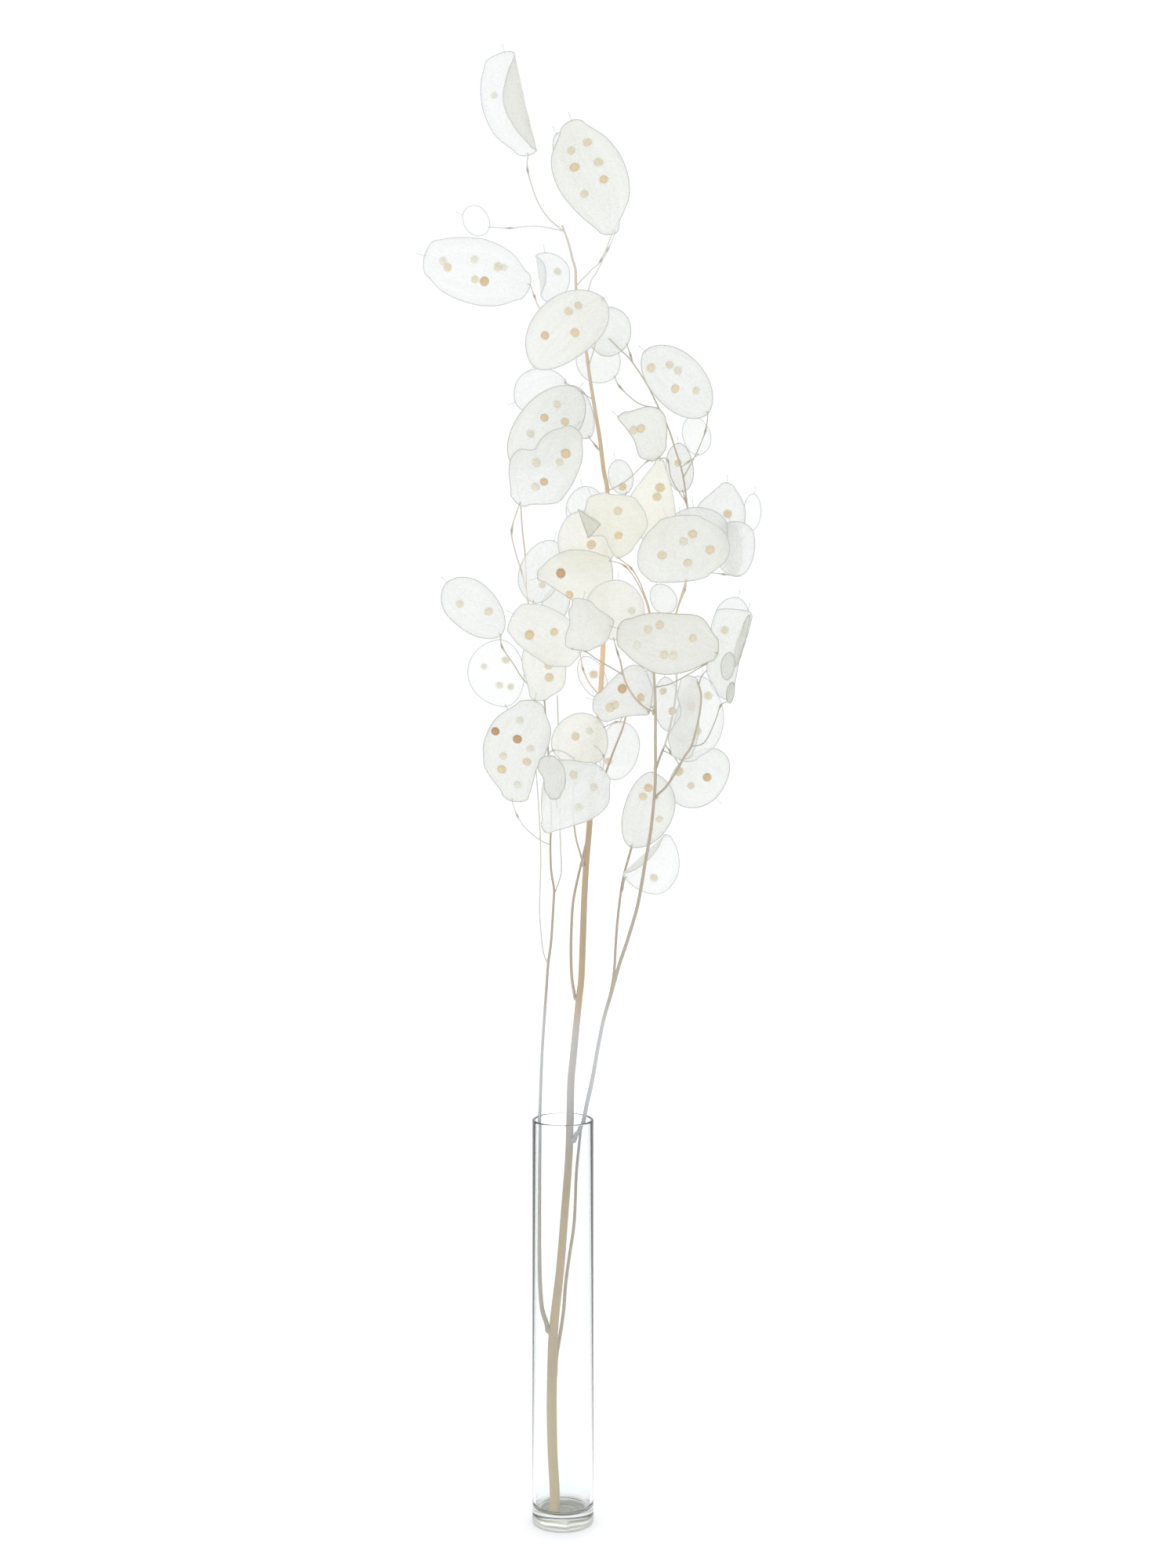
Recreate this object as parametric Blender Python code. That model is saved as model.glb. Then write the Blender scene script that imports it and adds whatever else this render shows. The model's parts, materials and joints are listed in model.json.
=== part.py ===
"""A dried honesty stem, with the papery seed pods on its sprays, standing in a tall clear glass cylinder vase.

The vase stands on z = 0 and its axis is the world's Z axis. A place on the plant is given in millimetres as it
is seen from in front of the vase: x and z are read in the plane of the vase's axis, and the point is then slid
along the line of sight from the eye to its depth y, where a negative depth is nearer to the eye.
"""

import math
from typing import NamedTuple

import bmesh
import bpy
from mathutils import Vector

MM = 0.001

# The eye that the places are seen from, level with the middle of the pods.
EYE = Vector((12.3, -1069.5, 427.0))

# The vase, a straight tube of clear glass with a thick floor.
VASE_HEIGHT = 197.0
VASE_RADIUS = 15.1
VASE_WALL = 1.5
VASE_FLOOR = 7.0
VASE_FOOT_ROUND = 1.4
VASE_INNER_ROUND = 3.5
VASE_RIM_ROUND = 0.45
VASE_SIDES = 40
ROUND_STEPS = 3

# The plant's fine solids, which are a little thicker than the real membrane.
MEMBRANE = 0.7
POD_RIM = 1.1
ROW_STATIONS = (0.07, 0.25, 0.5, 0.75, 0.93)
SMALL_STATIONS = (0.08, 0.36, 0.68, 0.92)
SMALL_POD = 27.0
HALF_COLUMNS = (-1.0, -0.45, 0.45, 1.0)
FLAP_COLUMNS = (0.0, 0.3, 1.0)
FOLD_RADIUS = 1.1
FOLD_REACH = 0.72
POD_ROUNDNESS = (2.1, 0.56)
POD_CUP = 0.07
STYLE_LENGTH = 4.0
STYLE_RADIUS = 0.4
STALK_RADIUS = 0.42
KNOB_RADIUS = 0.75
TWIG_RADIUS = 0.5
STALK_SIDES = 4
SEED_RADIUS = 2.4
SEED_RISE = 1.1
SEED_SIDES = 5
STEM_SIDES = 6
MAIN_SIDES = 8
AXIL_GAP = 0.32


class Pod(NamedTuple):
    """A seed pod: base and tip seen at (x, z), half-widths left and right of that axis with the tip up, and
    how far along each side is widest. An outline gives the half-widths at ROW_STATIONS instead, for a pod that has
    lobes or is crumpled. The depth is given at the base and at the tip. The stalk runs from the base through
    via to the stem at height root."""

    base: tuple
    tip: tuple
    width: tuple
    depth: tuple
    root: float
    via: tuple = ()
    belly: tuple = (0.5, 0.5)
    roll: float = 0.0
    fold: float = 0.0
    outline: tuple = ()
    seeds: tuple = ()


class Spray(NamedTuple):
    """A stem seen through points (x, z, depth), its radius at both ends, the pods on it, where it sprouts, and
    its thin side twigs, each of which starts inside it."""

    points: tuple
    radius: tuple
    pods: tuple
    parent: str = ""
    root: float = 0.0
    twigs: tuple = ()


MAIN_STEM = Spray(
    points=(
        (-4.1, 4.5, -8.4), (-3.9, 13.1, -8.2), (-5.0, 26.6, -7.8), (-5.8, 34.3, -7.6), (-6.9, 53.5, -6.8),
        (-6.9, 61.2, -6.2), (-6.2, 92.0, -4.4), (-2.3, 122.8, -2.6), (0.0, 145.9, -1.4), (2.3, 176.7, 0.2),
        (3.5, 196.0, 1.0), (3.9, 215.2, 1.6), (5.0, 226.8, 1.9), (6.5, 242.2, 2.2), (8.1, 257.6, 2.4),
        (9.2, 269.1, 2.5), (10.4, 303.8, 2.6), (11.5, 323.0, 2.7), (13.1, 342.3, 2.8), (14.2, 361.5, 3.0),
        (16.2, 381.0, 3.0), (18.1, 400.0, 3.0), (19.6, 427.0, 2.2), (20.5, 452.0, 1.0), (21.2, 477.0, -0.5),
        (21.9, 504.0, -2.5), (20.0, 515.5, -3.0), (18.1, 530.9, -4.0), (16.2, 542.5, -4.6), (14.6, 552.1, -5.2),
        (13.1, 561.7, -5.8), (11.5, 573.3, -6.5), (9.0, 589.0, -7.4), (6.5, 604.1, -8.2), (6.2, 613.7, -8.8),
        (4.6, 619.5, -9.2), (2.7, 627.2, -9.6), (-0.4, 636.0, -10.0),
    ),
    radius=(2.1, 0.5),
    pods=(
        Pod((-17.2, 670.1), (-28.9, 721.1), (17.0, 17.0), (-6.0, -3.0), 632.5,
            via=((-17.4, 663.0), (-12.9, 648.6), (-7.1, 639.4)), belly=(0.62, 0.46), roll=4, fold=4.0,
            seeds=((-33.5, 699.0),)),
        Pod((-36.0, 635.0), (-49.2, 641.0), (6.5, 7.0), (24.0, 28.0), 633.0,
            via=((-26.0, 634.5), (-13.0, 635.5)), roll=30),
        Pod((25.5, 631.8), (4.2, 687.5), (17.6, 16.3), (-19.0, -18.0), 585.0,
            via=((22.0, 624.0), (17.0, 613.7), (13.0, 606.0)), belly=(0.42, 0.46), roll=-6,
            seeds=((4.0, 672.0), (12.0, 676.0), (5.7, 663.5), (17.3, 666.0), (20.0, 657.5), (10.5, 650.5))),
        Pod((24.0, 631.5), (-3.5, 680.5), (12.8, 14.0), (-6.0, -1.0), 606.0,
            via=((18.5, 618.5), (14.0, 614.0)), belly=(0.55, 0.5), roll=8),
        Pod((-16.0, 606.5), (-68.0, 621.0), (16.0, 17.0), (-12.0, -19.0), 577.0,
            via=((-14.0, 601.0), (-10.8, 594.5), (0.0, 586.0)), belly=(0.52, 0.54), roll=8,
            seeds=((-57.5, 616.5), (-43.5, 619.5), (-32.0, 616.0), (-41.0, 609.5))),
        Pod((-6.0, 598.0), (-9.0, 622.5), (9.5, 11.0), (8.0, 12.0), 588.0,
            via=((-1.0, 592.0),), belly=(0.6, 0.6), roll=-14, fold=-4.0, seeds=((-3.0, 613.0),)),
        Pod((20.0, 600.0), (-14.5, 566.5), (12.8, 18.0), (-20.0, -26.0), 566.0,
            via=((18.8, 592.0), (16.0, 578.0)), belly=(0.38, 0.5), roll=-5,
            seeds=((7.3, 596.0), (2.5, 593.0), (-9.0, 581.3), (5.5, 582.4))),
        Pod((1.5, 558.5), (-23.5, 549.0), (9.0, 12.0), (14.0, 19.0), 550.0,
            via=((9.0, 554.0),), belly=(0.5, 0.6), roll=-16),
        Pod((13.0, 531.5), (2.5, 557.0), (9.5, 7.0), (6.0, 9.0), 524.0, belly=(0.5, 0.58), roll=12),
        Pod((47.5, 522.0), (27.0, 542.0), (5.5, 15.5), (-8.0, -12.0), 505.5,
            via=((42.0, 520.5), (33.0, 512.0), (27.0, 508.0)), roll=8,
            outline=((2.5, 5.5), (5.0, 12.0), (5.5, 15.5), (5.0, 13.0), (3.0, 6.0)),
            seeds=((36.5, 536.0), (40.5, 531.0))),
        Pod((14.5, 484.0), (9.5, 507.5), (10.5, 9.0), (14.0, 19.0), 476.0, belly=(0.5, 0.55), roll=10),
        Pod((20.0, 468.0), (4.0, 494.0), (15.5, 9.0), (9.0, 10.0), 458.0, belly=(0.38, 0.5),
            seeds=((14.0, 479.0),)),
        Pod((31.0, 504.0), (26.0, 520.5), (6.0, 6.0), (24.0, 27.0), 492.0, roll=20, seeds=((29.5, 507.5),)),
        Pod((8.5, 425.5), (-24.5, 445.0), (12.7, 12.5), (-2.0, -6.0), 404.5,
            via=((9.8, 418.0), (13.0, 411.0)), belly=(0.6, 0.5), roll=4,
            seeds=((-16.5, 435.0), (-4.5, 436.5))),
    ),
)

LEFT_SPRAY = Spray(
    parent="main_stem",
    root=93.0,
    twigs=(
        ((-7.3, 273.0, 5.8), (-9.6, 278.7, 6.4), (-10.8, 288.4, 7.6), (-11.5, 300.0, 9.2), (-11.2, 311.5, 11.0),
         (-10.9, 327.0, 13.6), (-11.6, 345.0, 16.6), (-13.0, 365.0, 19.5), (-14.5, 383.0, 21.5)),
        ((-4.5, 307.0, 7.8), (-2.2, 313.0, 9.6), (-0.8, 319.0, 11.4), (-1.2, 331.0, 13.8), (-1.6, 346.0, 16.0),
         (-1.9, 366.0, 17.6), (-2.2, 386.0, 18.4), (-2.8, 405.0, 18.8)),
    ),
    points=(
        (-10.2, 103.6, -3.8), (-11.2, 115.1, -3.4), (-11.6, 130.0, -2.8), (-11.7, 149.4, -2.0),
        (-11.7, 169.0, -1.2), (-11.6, 186.0, -0.6), (-11.5, 197.0, 0.2), (-11.1, 207.5, 1.0), (-10.4, 226.8, 2.4),
        (-9.2, 246.0, 3.8), (-8.1, 261.4, 5.0), (-7.3, 273.0, 5.8), (-5.8, 284.5, 6.6), (-4.6, 303.8, 7.6),
        (-4.4, 310.0, 8.0), (-5.8, 319.0, 8.6), (-6.2, 331.5, 9.2), (-5.8, 345.0, 9.8), (-6.4, 362.0, 10.6),
        (-7.4, 380.0, 11.6), (-8.9, 400.0, 12.8), (-10.8, 427.0, 13.2), (-15.0, 441.0, 11.6),
        (-17.7, 455.0, 9.6), (-18.5, 473.0, 6.6), (-20.0, 487.0, 4.4), (-20.8, 500.0, 3.0),
    ),
    radius=(1.5, 0.5),
    pods=(
        Pod((-21.5, 498.5), (6.0, 536.5), (15.5, 14.5), (-10.0, -18.0), 456.0,
            via=((-25.2, 486.0), (-23.5, 476.0), (-20.4, 466.0)), roll=-6,
            outline=((7.2, 3.8), (14.5, 14.2), (15.2, 15.0), (10.0, 12.3), (4.8, 6.3)),
            seeds=((1.3, 524.2), (-1.7, 520.0), (-13.0, 520.0), (-9.3, 510.5), (-13.5, 508.0))),
        Pod((-24.0, 517.0), (7.5, 555.5), (14.4, 13.5), (2.0, -4.0), 498.0, via=((-22.6, 509.0),),
            belly=(0.5, 0.62), roll=7, seeds=((-2.5, 548.0), (-8.7, 541.3), (-15.5, 533.5), (1.3, 539.5))),
        Pod((-14.5, 450.5), (-4.5, 481.0), (11.7, 9.0), (9.0, 5.0), 436.0, belly=(0.45, 0.5), roll=-10,
            seeds=((-10.5, 459.5),)),
        Pod((-30.5, 434.5), (-57.0, 460.5), (11.4, 12.2), (-6.0, -13.0), 402.0,
            via=((-30.0, 429.0), (-24.0, 420.0), (-19.5, 413.0)), belly=(0.62, 0.58), roll=14,
            seeds=((-50.5, 450.5), (-36.5, 447.0))),
        Pod((-28.0, 399.5), (-31.0, 432.5), (17.0, 10.0), (24.0, 31.0), 378.0,
            via=((-22.0, 393.0), (-14.0, 384.0)), roll=-12,
            seeds=((-39.0, 418.5), (-28.5, 422.0), (-31.5, 409.5), (-26.0, 409.0))),
        Pod((-12.0, 404.0), (-9.0, 434.0), (9.8, 12.7), (4.0, 7.0), 381.0, via=((-14.0, 398.0), (-13.0, 389.0)),
            belly=(0.4, 0.4), roll=-8, seeds=((-7.5, 419.5), (-7.0, 413.5))),
        Pod((-25.0, 353.0), (-14.0, 402.5), (20.3, 11.6), (-6.0, -11.0), 331.5,
            via=((-22.5, 346.0), (-18.5, 340.0), (-12.0, 334.5)), roll=5,
            outline=((6.0, 7.5), (16.3, 8.2), (19.8, 10.8), (16.5, 11.2), (8.0, 5.8)),
            seeds=((-33.0, 387.5), (-22.0, 384.0), (-21.0, 393.0), (-15.5, 379.5), (-29.0, 375.5),
                   (-17.3, 373.0), (-29.8, 369.0), (-22.0, 361.5))),
        Pod((-7.0, 440.0), (0.5, 458.0), (7.0, 6.0), (19.0, 22.0), 425.0, roll=15),
    ),
)

MIDDLE_SPRAY = Spray(
    parent="main_stem",
    root=256.0,
    points=(
        (4.3, 267.0, 4.5), (3.9, 279.0, 5.0), (4.2, 292.0, 6.0), (5.0, 303.8, 7.5), (7.3, 315.3, 9.0),
        (9.6, 325.0, 10.5), (12.4, 337.0, 12.5), (15.5, 350.0, 15.0), (20.0, 364.0, 17.5), (25.0, 378.0, 19.5),
        (29.0, 388.0, 21.0), (31.0, 396.0, 22.5), (31.0, 403.0, 24.0),
    ),
    radius=(0.85, 0.45),
    pods=(
        Pod((20.5, 389.5), (-5.0, 378.0), (14.3, 12.0), (-1.0, -4.0), 392.0, via=((26.0, 392.0),),
            belly=(0.38, 0.45), roll=-4, seeds=((6.0, 384.7), (13.0, 387.5))),
        Pod((28.0, 392.3), (25.5, 363.5), (10.5, 9.0), (28.0, 35.0), 398.0, belly=(0.42, 0.5), roll=14,
            seeds=((22.0, 373.5),)),
        Pod((20.0, 405.0), (8.0, 423.5), (8.0, 8.0), (27.0, 30.0), 401.0, roll=-18, seeds=((14.8, 415.0),)),
    ),
)

INNER_SPRAY = Spray(
    parent="main_stem",
    root=321.0,
    points=(
        (8.3, 328.0, -1.0), (6.5, 334.5, -4.0), (5.4, 343.0, -7.5), (5.0, 355.0, -10.5), (6.5, 367.0, -12.0),
        (9.5, 377.0, -12.6), (11.5, 385.0, -12.6),
    ),
    radius=(0.7, 0.45),
    pods=(
        Pod((19.5, 369.0), (-9.0, 338.0), (12.5, 17.8), (-20.0, -24.0), 381.0, via=((20.0, 375.0), (16.0, 380.0)),
            roll=5, outline=((7.5, 7.5), (13.5, 17.5), (12.8, 18.5), (7.5, 12.0), (2.8, 4.5)),
            seeds=((5.0, 366.0), (15.0, 360.0), (7.5, 350.2))),
        Pod((-7.0, 375.5), (-3.5, 354.0), (6.5, 6.0), (-31.0, -33.0), 372.0, via=((-5.0, 378.0), (1.0, 377.0)),
            belly=(0.5, 0.5), roll=16),
    ),
)

RIGHT_FRONT_SPRAY = Spray(
    parent="main_stem",
    root=184.0,
    points=(
        (7.8, 190.0, -0.6), (10.1, 196.0, -1.2), (11.6, 203.7, -2.0), (14.2, 215.0, -3.4), (16.9, 230.6, -5.2),
        (20.0, 246.0, -7.0), (23.9, 259.5, -8.6), (27.7, 273.0, -10.0), (31.6, 284.5, -11.0),
        (36.2, 300.0, -12.2), (38.5, 311.5, -12.8), (40.4, 323.0, -13.2), (43.1, 338.4, -13.8),
        (44.7, 353.8, -14.2), (45.4, 365.0, -14.4), (45.4, 383.0, -14.4), (45.4, 400.0, -14.2),
        (44.7, 415.4, -13.8), (43.7, 432.0, -13.0), (42.4, 446.2, -12.4), (39.3, 456.0, -12.0),
    ),
    radius=(1.2, 0.6),
    pods=(
        Pod((27.5, 472.3), (14.0, 503.0), (9.5, 20.5), (-14.0, -20.0), 453.0, via=((33.5, 467.5), (38.0, 460.0)),
            roll=6, outline=((1.5, 9.0), (2.0, 18.5), (8.6, 20.6), (8.3, 18.0), (3.5, 8.0)), seeds=((27.0, 496.0), (27.3, 484.0))),
        Pod((23.7, 471.0), (-12.5, 462.5), (16.0, 10.6), (-10.0, -5.0), 449.0,
            via=((30.5, 468.5), (36.5, 460.5)), roll=-4,
            outline=((11.0, 3.2), (15.0, 7.2), (17.0, 9.8), (9.0, 8.2), (1.9, 4.6)),
            seeds=((-0.7, 465.0), (3.5, 454.5))),
        Pod((76.0, 425.5), (27.0, 438.0), (16.8, 15.5), (-31.0, -38.0), 409.0,
            via=((70.0, 420.5), (61.6, 415.4), (53.0, 410.8)), roll=5,
            outline=((5.0, 8.0), (12.0, 15.3), (16.6, 14.0), (14.0, 11.0), (9.0, 5.6)),
            seeds=((41.3, 437.7), (47.0, 440.0), (36.0, 430.0), (63.3, 433.5), (49.3, 425.5), (53.8, 425.0))),
        Pod((44.0, 399.0), (41.8, 418.0), (3.0, 3.0), (6.0, 9.0), 396.0, roll=66),
    ),
)

RIGHT_LOW_SPRAY = Spray(
    parent="right_front_spray",
    root=355.0,
    points=(
        (50.8, 360.4, -15.0), (55.4, 367.3, -15.6), (59.7, 375.0, -16.0), (63.0, 380.0, -16.2),
        (65.5, 388.5, -16.2), (67.4, 398.0, -16.0), (67.8, 405.8, -15.0), (66.0, 412.0, -13.0),
    ),
    radius=(0.65, 0.45),
    pods=(
        Pod((81.3, 402.5), (91.0, 446.5), (16.2, 2.5), (-15.0, -7.0), 380.0,
            via=((77.4, 400.0), (74.7, 392.3), (69.5, 382.0)), roll=6,
            outline=((6.5, 1.5), (13.2, 1.6), (10.5, 1.6), (16.2, 2.5), (15.4, 2.5)),
            seeds=((79.5, 437.0),)),
        Pod((80.0, 430.0), (86.0, 453.0), (9.0, 8.0), (9.0, 14.0), 410.0, via=((74.0, 421.0), (68.5, 415.0)),
            roll=-12),
    ),
)

RIGHT_MID_SPRAY = Spray(
    parent="right_front_spray",
    root=396.0,
    points=(
        (41.2, 398.4, -15.6), (36.2, 402.7, -17.6), (31.6, 409.6, -18.8), (29.4, 416.0, -19.2),
        (28.0, 423.0, -19.0),
    ),
    radius=(0.6, 0.45),
    pods=(
        Pod((4.8, 427.6), (10.0, 452.4), (5.6, 17.0), (-33.0, -35.0), 415.0,
            via=((10.4, 427.0), (16.2, 423.1), (23.9, 418.5)), roll=-5,
            outline=((4.0, 9.0), (4.9, 15.0), (4.2, 16.6), (6.0, 15.0), (5.2, 6.0))),
        Pod((25.0, 432.3), (27.0, 461.7), (14.5, 14.0), (-21.0, -26.0), 421.0, belly=(0.55, 0.5), roll=6,
            seeds=((34.0, 447.0), (23.5, 441.5))),
        Pod((42.5, 396.5), (15.0, 403.0), (11.0, 18.0), (-6.0, -10.0), 398.6, roll=3,
            outline=((1.6, 13.0), (2.8, 20.0), (5.7, 20.5), (9.3, 12.5), (6.0, 3.6)),
            seeds=((28.8, 408.5), (22.8, 399.3), (38.0, 404.0))),
    ),
)

RIGHT_BACK_SPRAY = Spray(
    parent="main_stem",
    root=80.0,
    points=(
        (-2.2, 92.0, -0.4), (-0.4, 103.0, 1.4), (1.4, 116.0, 3.0), (3.5, 130.5, 4.4), (5.8, 145.9, 5.2),
        (6.9, 169.0, 5.4), (8.5, 184.4, 5.4), (10.0, 196.0, 5.6), (11.6, 205.0, 6.2), (14.2, 217.0, 7.4),
        (16.9, 230.6, 8.8), (20.0, 246.0, 10.4), (23.5, 259.5, 11.8), (25.2, 270.0, 12.6), (25.8, 281.0, 13.2),
        (26.6, 292.2, 14.0), (27.7, 302.6, 14.8), (29.6, 315.3, 15.8), (33.0, 328.0, 16.8), (38.0, 345.0, 17.8),
        (43.0, 360.0, 18.4), (47.0, 373.0, 18.6), (50.8, 383.0, 18.6), (54.0, 396.0, 18.6), (55.8, 410.0, 18.6),
        (55.2, 425.0, 18.6), (54.5, 438.0, 18.6), (55.8, 446.0, 18.8), (58.2, 454.0, 19.2), (60.8, 463.0, 20.0),
        (62.3, 475.0, 20.6), (62.0, 487.0, 20.0), (61.2, 497.0, 18.0), (58.9, 513.2, 14.0), (55.4, 525.1, 11.0),
        (51.6, 536.7, 8.6), (47.0, 546.3, 6.8), (41.2, 557.9, 4.6), (33.5, 569.4, 2.4), (27.7, 575.2, 1.0),
        (22.5, 580.5, 0.0),
    ),
    radius=(1.1, 0.45),
    pods=(
        Pod((30.5, 315.0), (52.8, 335.7), (8.0, 18.0), (12.0, 4.0), 306.0, belly=(0.5, 0.4), roll=5, fold=-1.6,
            seeds=((45.3, 316.0),)),
        Pod((33.5, 330.5), (44.0, 367.3), (8.8, 15.6), (8.0, 2.0), 322.0, belly=(0.5, 0.56), roll=-5,
            seeds=((42.0, 360.0), (39.3, 356.0), (47.3, 344.5))),
        Pod((57.0, 371.5), (75.0, 354.5), (19.0, 15.0), (13.0, 8.0), 381.0, belly=(0.5, 0.45), roll=6,
            seeds=((57.0, 367.5), (70.8, 364.5), (63.0, 360.3))),
        Pod((58.5, 372.8), (68.0, 414.5), (7.6, 16.0), (4.0, 2.0), 378.0, via=((53.5, 376.0),), roll=-5,
            outline=((4.0, 7.0), (7.5, 14.0), (8.0, 15.8), (7.0, 12.5), (4.5, 5.5)),
            seeds=((62.5, 400.0), (71.3, 405.0), (57.5, 384.5), (65.7, 387.5))),
        Pod((52.0, 387.5), (50.0, 414.0), (6.0, 6.5), (27.0, 32.0), 383.0, roll=24,
            seeds=((49.7, 407.0), (54.3, 397.0))),
        Pod((60.5, 462.0), (57.0, 494.5), (22.8, 22.6), (-3.0, -8.0), 447.0, via=((60.0, 457.0),), roll=-4,
            outline=((18.0, 12.5), (22.6, 21.4), (22.6, 22.8), (17.5, 19.8), (8.0, 11.0)),
            seeds=((63.5, 484.5), (59.0, 481.0), (48.5, 474.3), (61.0, 470.5), (72.0, 476.7))),
        Pod((66.0, 470.0), (64.0, 497.4), (14.0, 16.0), (8.0, 8.5), 466.0, belly=(0.6, 0.6), roll=3),
        Pod((78.0, 483.0), (80.5, 509.5), (12.8, 10.2), (19.0, 26.0), 474.0, via=((71.0, 478.0),), roll=-14,
            outline=((8.0, 5.0), (12.5, 9.5), (12.8, 10.2), (7.4, 7.6), (3.0, 3.8)), seeds=((80.3, 493.6),)),
        Pod((86.5, 463.5), (82.0, 490.3), (10.0, 10.6), (5.0, 9.0), 466.0, via=((79.0, 464.5), (70.0, 465.5)),
            belly=(0.5, 0.68), roll=10),
        Pod((92.0, 486.0), (94.0, 504.0), (4.5, 4.0), (33.0, 38.0), 478.0, via=((84.0, 479.0), (72.0, 476.0)),
            roll=-30),
        Pod((50.0, 478.0), (43.0, 498.0), (6.5, 7.0), (26.0, 29.0), 470.0, roll=12, seeds=((43.0, 485.5),)),
        Pod((52.0, 445.0), (46.0, 459.5), (6.0, 6.5), (26.0, 29.0), 436.0, roll=-20),
        Pod((59.0, 505.0), (56.5, 529.0), (7.0, 6.4), (21.0, 24.0), 497.0, belly=(0.5, 0.42), roll=16,
            seeds=((57.0, 519.0),)),
        Pod((66.0, 523.0), (64.0, 542.0), (6.5, 7.5), (22.0, 28.0), 517.0, roll=-22),
        Pod((71.2, 543.4), (40.0, 574.0), (12.3, 14.0), (-3.0, -13.0), 512.0,
            via=((70.0, 535.0), (66.5, 526.0), (63.0, 519.0)), belly=(0.48, 0.52), roll=-10,
            seeds=((42.8, 566.0), (51.8, 567.3), (55.8, 564.5), (54.2, 555.8), (64.8, 554.7))),
        Pod((48.0, 521.5), (45.0, 479.0), (10.0, 15.0), (2.0, 3.0), 499.0, via=((51.5, 520.5), (53.5, 511.0)),
            roll=4, outline=((2.0, 2.8), (5.0, 8.0), (8.0, 14.0), (9.0, 13.0), (5.5, 6.5)), seeds=((47.5, 507.0), (45.5, 501.0))),
        Pod((25.5, 561.3), (10.0, 579.0), (11.5, 10.0), (15.0, 19.0), 546.0, via=((28.0, 556.5), (37.0, 548.5)),
            roll=8),
        Pod((31.5, 577.0), (12.0, 590.0), (11.0, 12.3), (2.0, 4.0), 568.0, belly=(0.4, 0.5), roll=4),
    ),
)

SPRAYS = {
    "main_stem": MAIN_STEM,
    "left_spray": LEFT_SPRAY,
    "middle_spray": MIDDLE_SPRAY,
    "inner_spray": INNER_SPRAY,
    "right_front_spray": RIGHT_FRONT_SPRAY,
    "right_low_spray": RIGHT_LOW_SPRAY,
    "right_mid_spray": RIGHT_MID_SPRAY,
    "right_back_spray": RIGHT_BACK_SPRAY,
}


def clear_scene():
    for obj in list(bpy.data.objects):
        bpy.data.objects.remove(obj, do_unlink=True)


def make_material(name, colour, roughness, alpha=1.0, transmission=0.0):
    material = bpy.data.materials.new(name)
    material.use_nodes = True
    shader = material.node_tree.nodes["Principled BSDF"]
    shader.inputs["Base Color"].default_value = (*colour, 1.0)
    shader.inputs["Roughness"].default_value = roughness
    shader.inputs["Metallic"].default_value = 0.0
    shader.inputs["Alpha"].default_value = alpha
    shader.inputs["Transmission Weight"].default_value = transmission
    material.diffuse_color = (*colour, alpha)
    return material


def mesh_object(name, vertices, faces, collection=None):
    """A mesh from points in millimetres, with every face turned outwards."""
    mesh = bpy.data.meshes.new(name)
    mesh.from_pydata([tuple(v * MM for v in vertex) for vertex in vertices], [], faces)
    shape = bmesh.new()
    shape.from_mesh(mesh)
    bmesh.ops.recalc_face_normals(shape, faces=shape.faces)
    shape.to_mesh(mesh)
    shape.free()
    obj = bpy.data.objects.new(name, mesh)
    (collection or bpy.context.scene.collection).objects.link(obj)
    return obj


def placed(x, z, depth):
    """The point seen at (x, z) in the plane of the vase's axis, slid along the line of sight to its depth."""
    slide = 1.0 + depth / -EYE.y
    return Vector((EYE.x + (x - EYE.x) * slide, depth, EYE.z + (z - EYE.z) * slide))


def lerp(a, b, t):
    return a + (b - a) * t


def tube(name, path, radii, sides, collection=None):
    """A closed tube of round section along the path, whose rings turn with it and don't twist."""
    vertices = []
    faces = []
    side = None
    for i, point in enumerate(path):
        before = path[max(i - 1, 0)]
        after = path[min(i + 1, len(path) - 1)]
        along = (after - before).normalized()
        if side is None:
            side = along.orthogonal().normalized()
        side = (side - along * side.dot(along)).normalized()
        up = along.cross(side)
        for k in range(sides):
            angle = math.tau * k / sides
            vertices.append(point + (side * math.cos(angle) + up * math.sin(angle)) * radii[i])
    for i in range(len(path) - 1):
        for k in range(sides):
            here = i * sides + k
            beside = i * sides + (k + 1) % sides
            faces.append((here, beside, beside + sides, here + sides))
    faces.append(tuple(reversed(range(sides))))
    faces.append(tuple(range((len(path) - 1) * sides, len(path) * sides)))
    return mesh_object(name, vertices, faces, collection)


def stem_radius(spray, share):
    return lerp(spray.radius[0], spray.radius[1], share**0.8)


def point_on(path, spray, height):
    """The place where a stem's path reaches this height as it is seen, with its direction and radius there."""
    heights = [seen_height(point) for point in path]
    best = min(range(len(path) - 1), key=lambda i: abs((heights[i] + heights[i + 1]) / 2 - height))
    span = heights[best + 1] - heights[best]
    share = min(max((height - heights[best]) / span, 0.0), 1.0)
    place = lerp(path[best], path[best + 1], share)
    along = (path[best + 1] - path[best]).normalized()
    return place, along, stem_radius(spray, (best + share) / (len(path) - 1))


def seen_height(point):
    return EYE.z + (point.z - EYE.z) / (1.0 + point.y / -EYE.y)


def stem_path(spray, paths):
    """The stem's own points, led out of its parent by a short knee that stops just off the parent's surface."""
    points = [placed(*point) for point in spray.points]
    if spray.parent:
        centre, along, radius = point_on(paths[spray.parent], SPRAYS[spray.parent], spray.root)
        out = points[0] - centre
        out = (out - along * out.dot(along)).normalized()
        start = centre + out * (radius + AXIL_GAP)
        neck = start + out * spray.radius[0] * 0.8
        knee = start + out * spray.radius[0] * 1.6 + along * spray.radius[0] * 1.8
        points = [start, neck, knee, *points]
    return points


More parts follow.
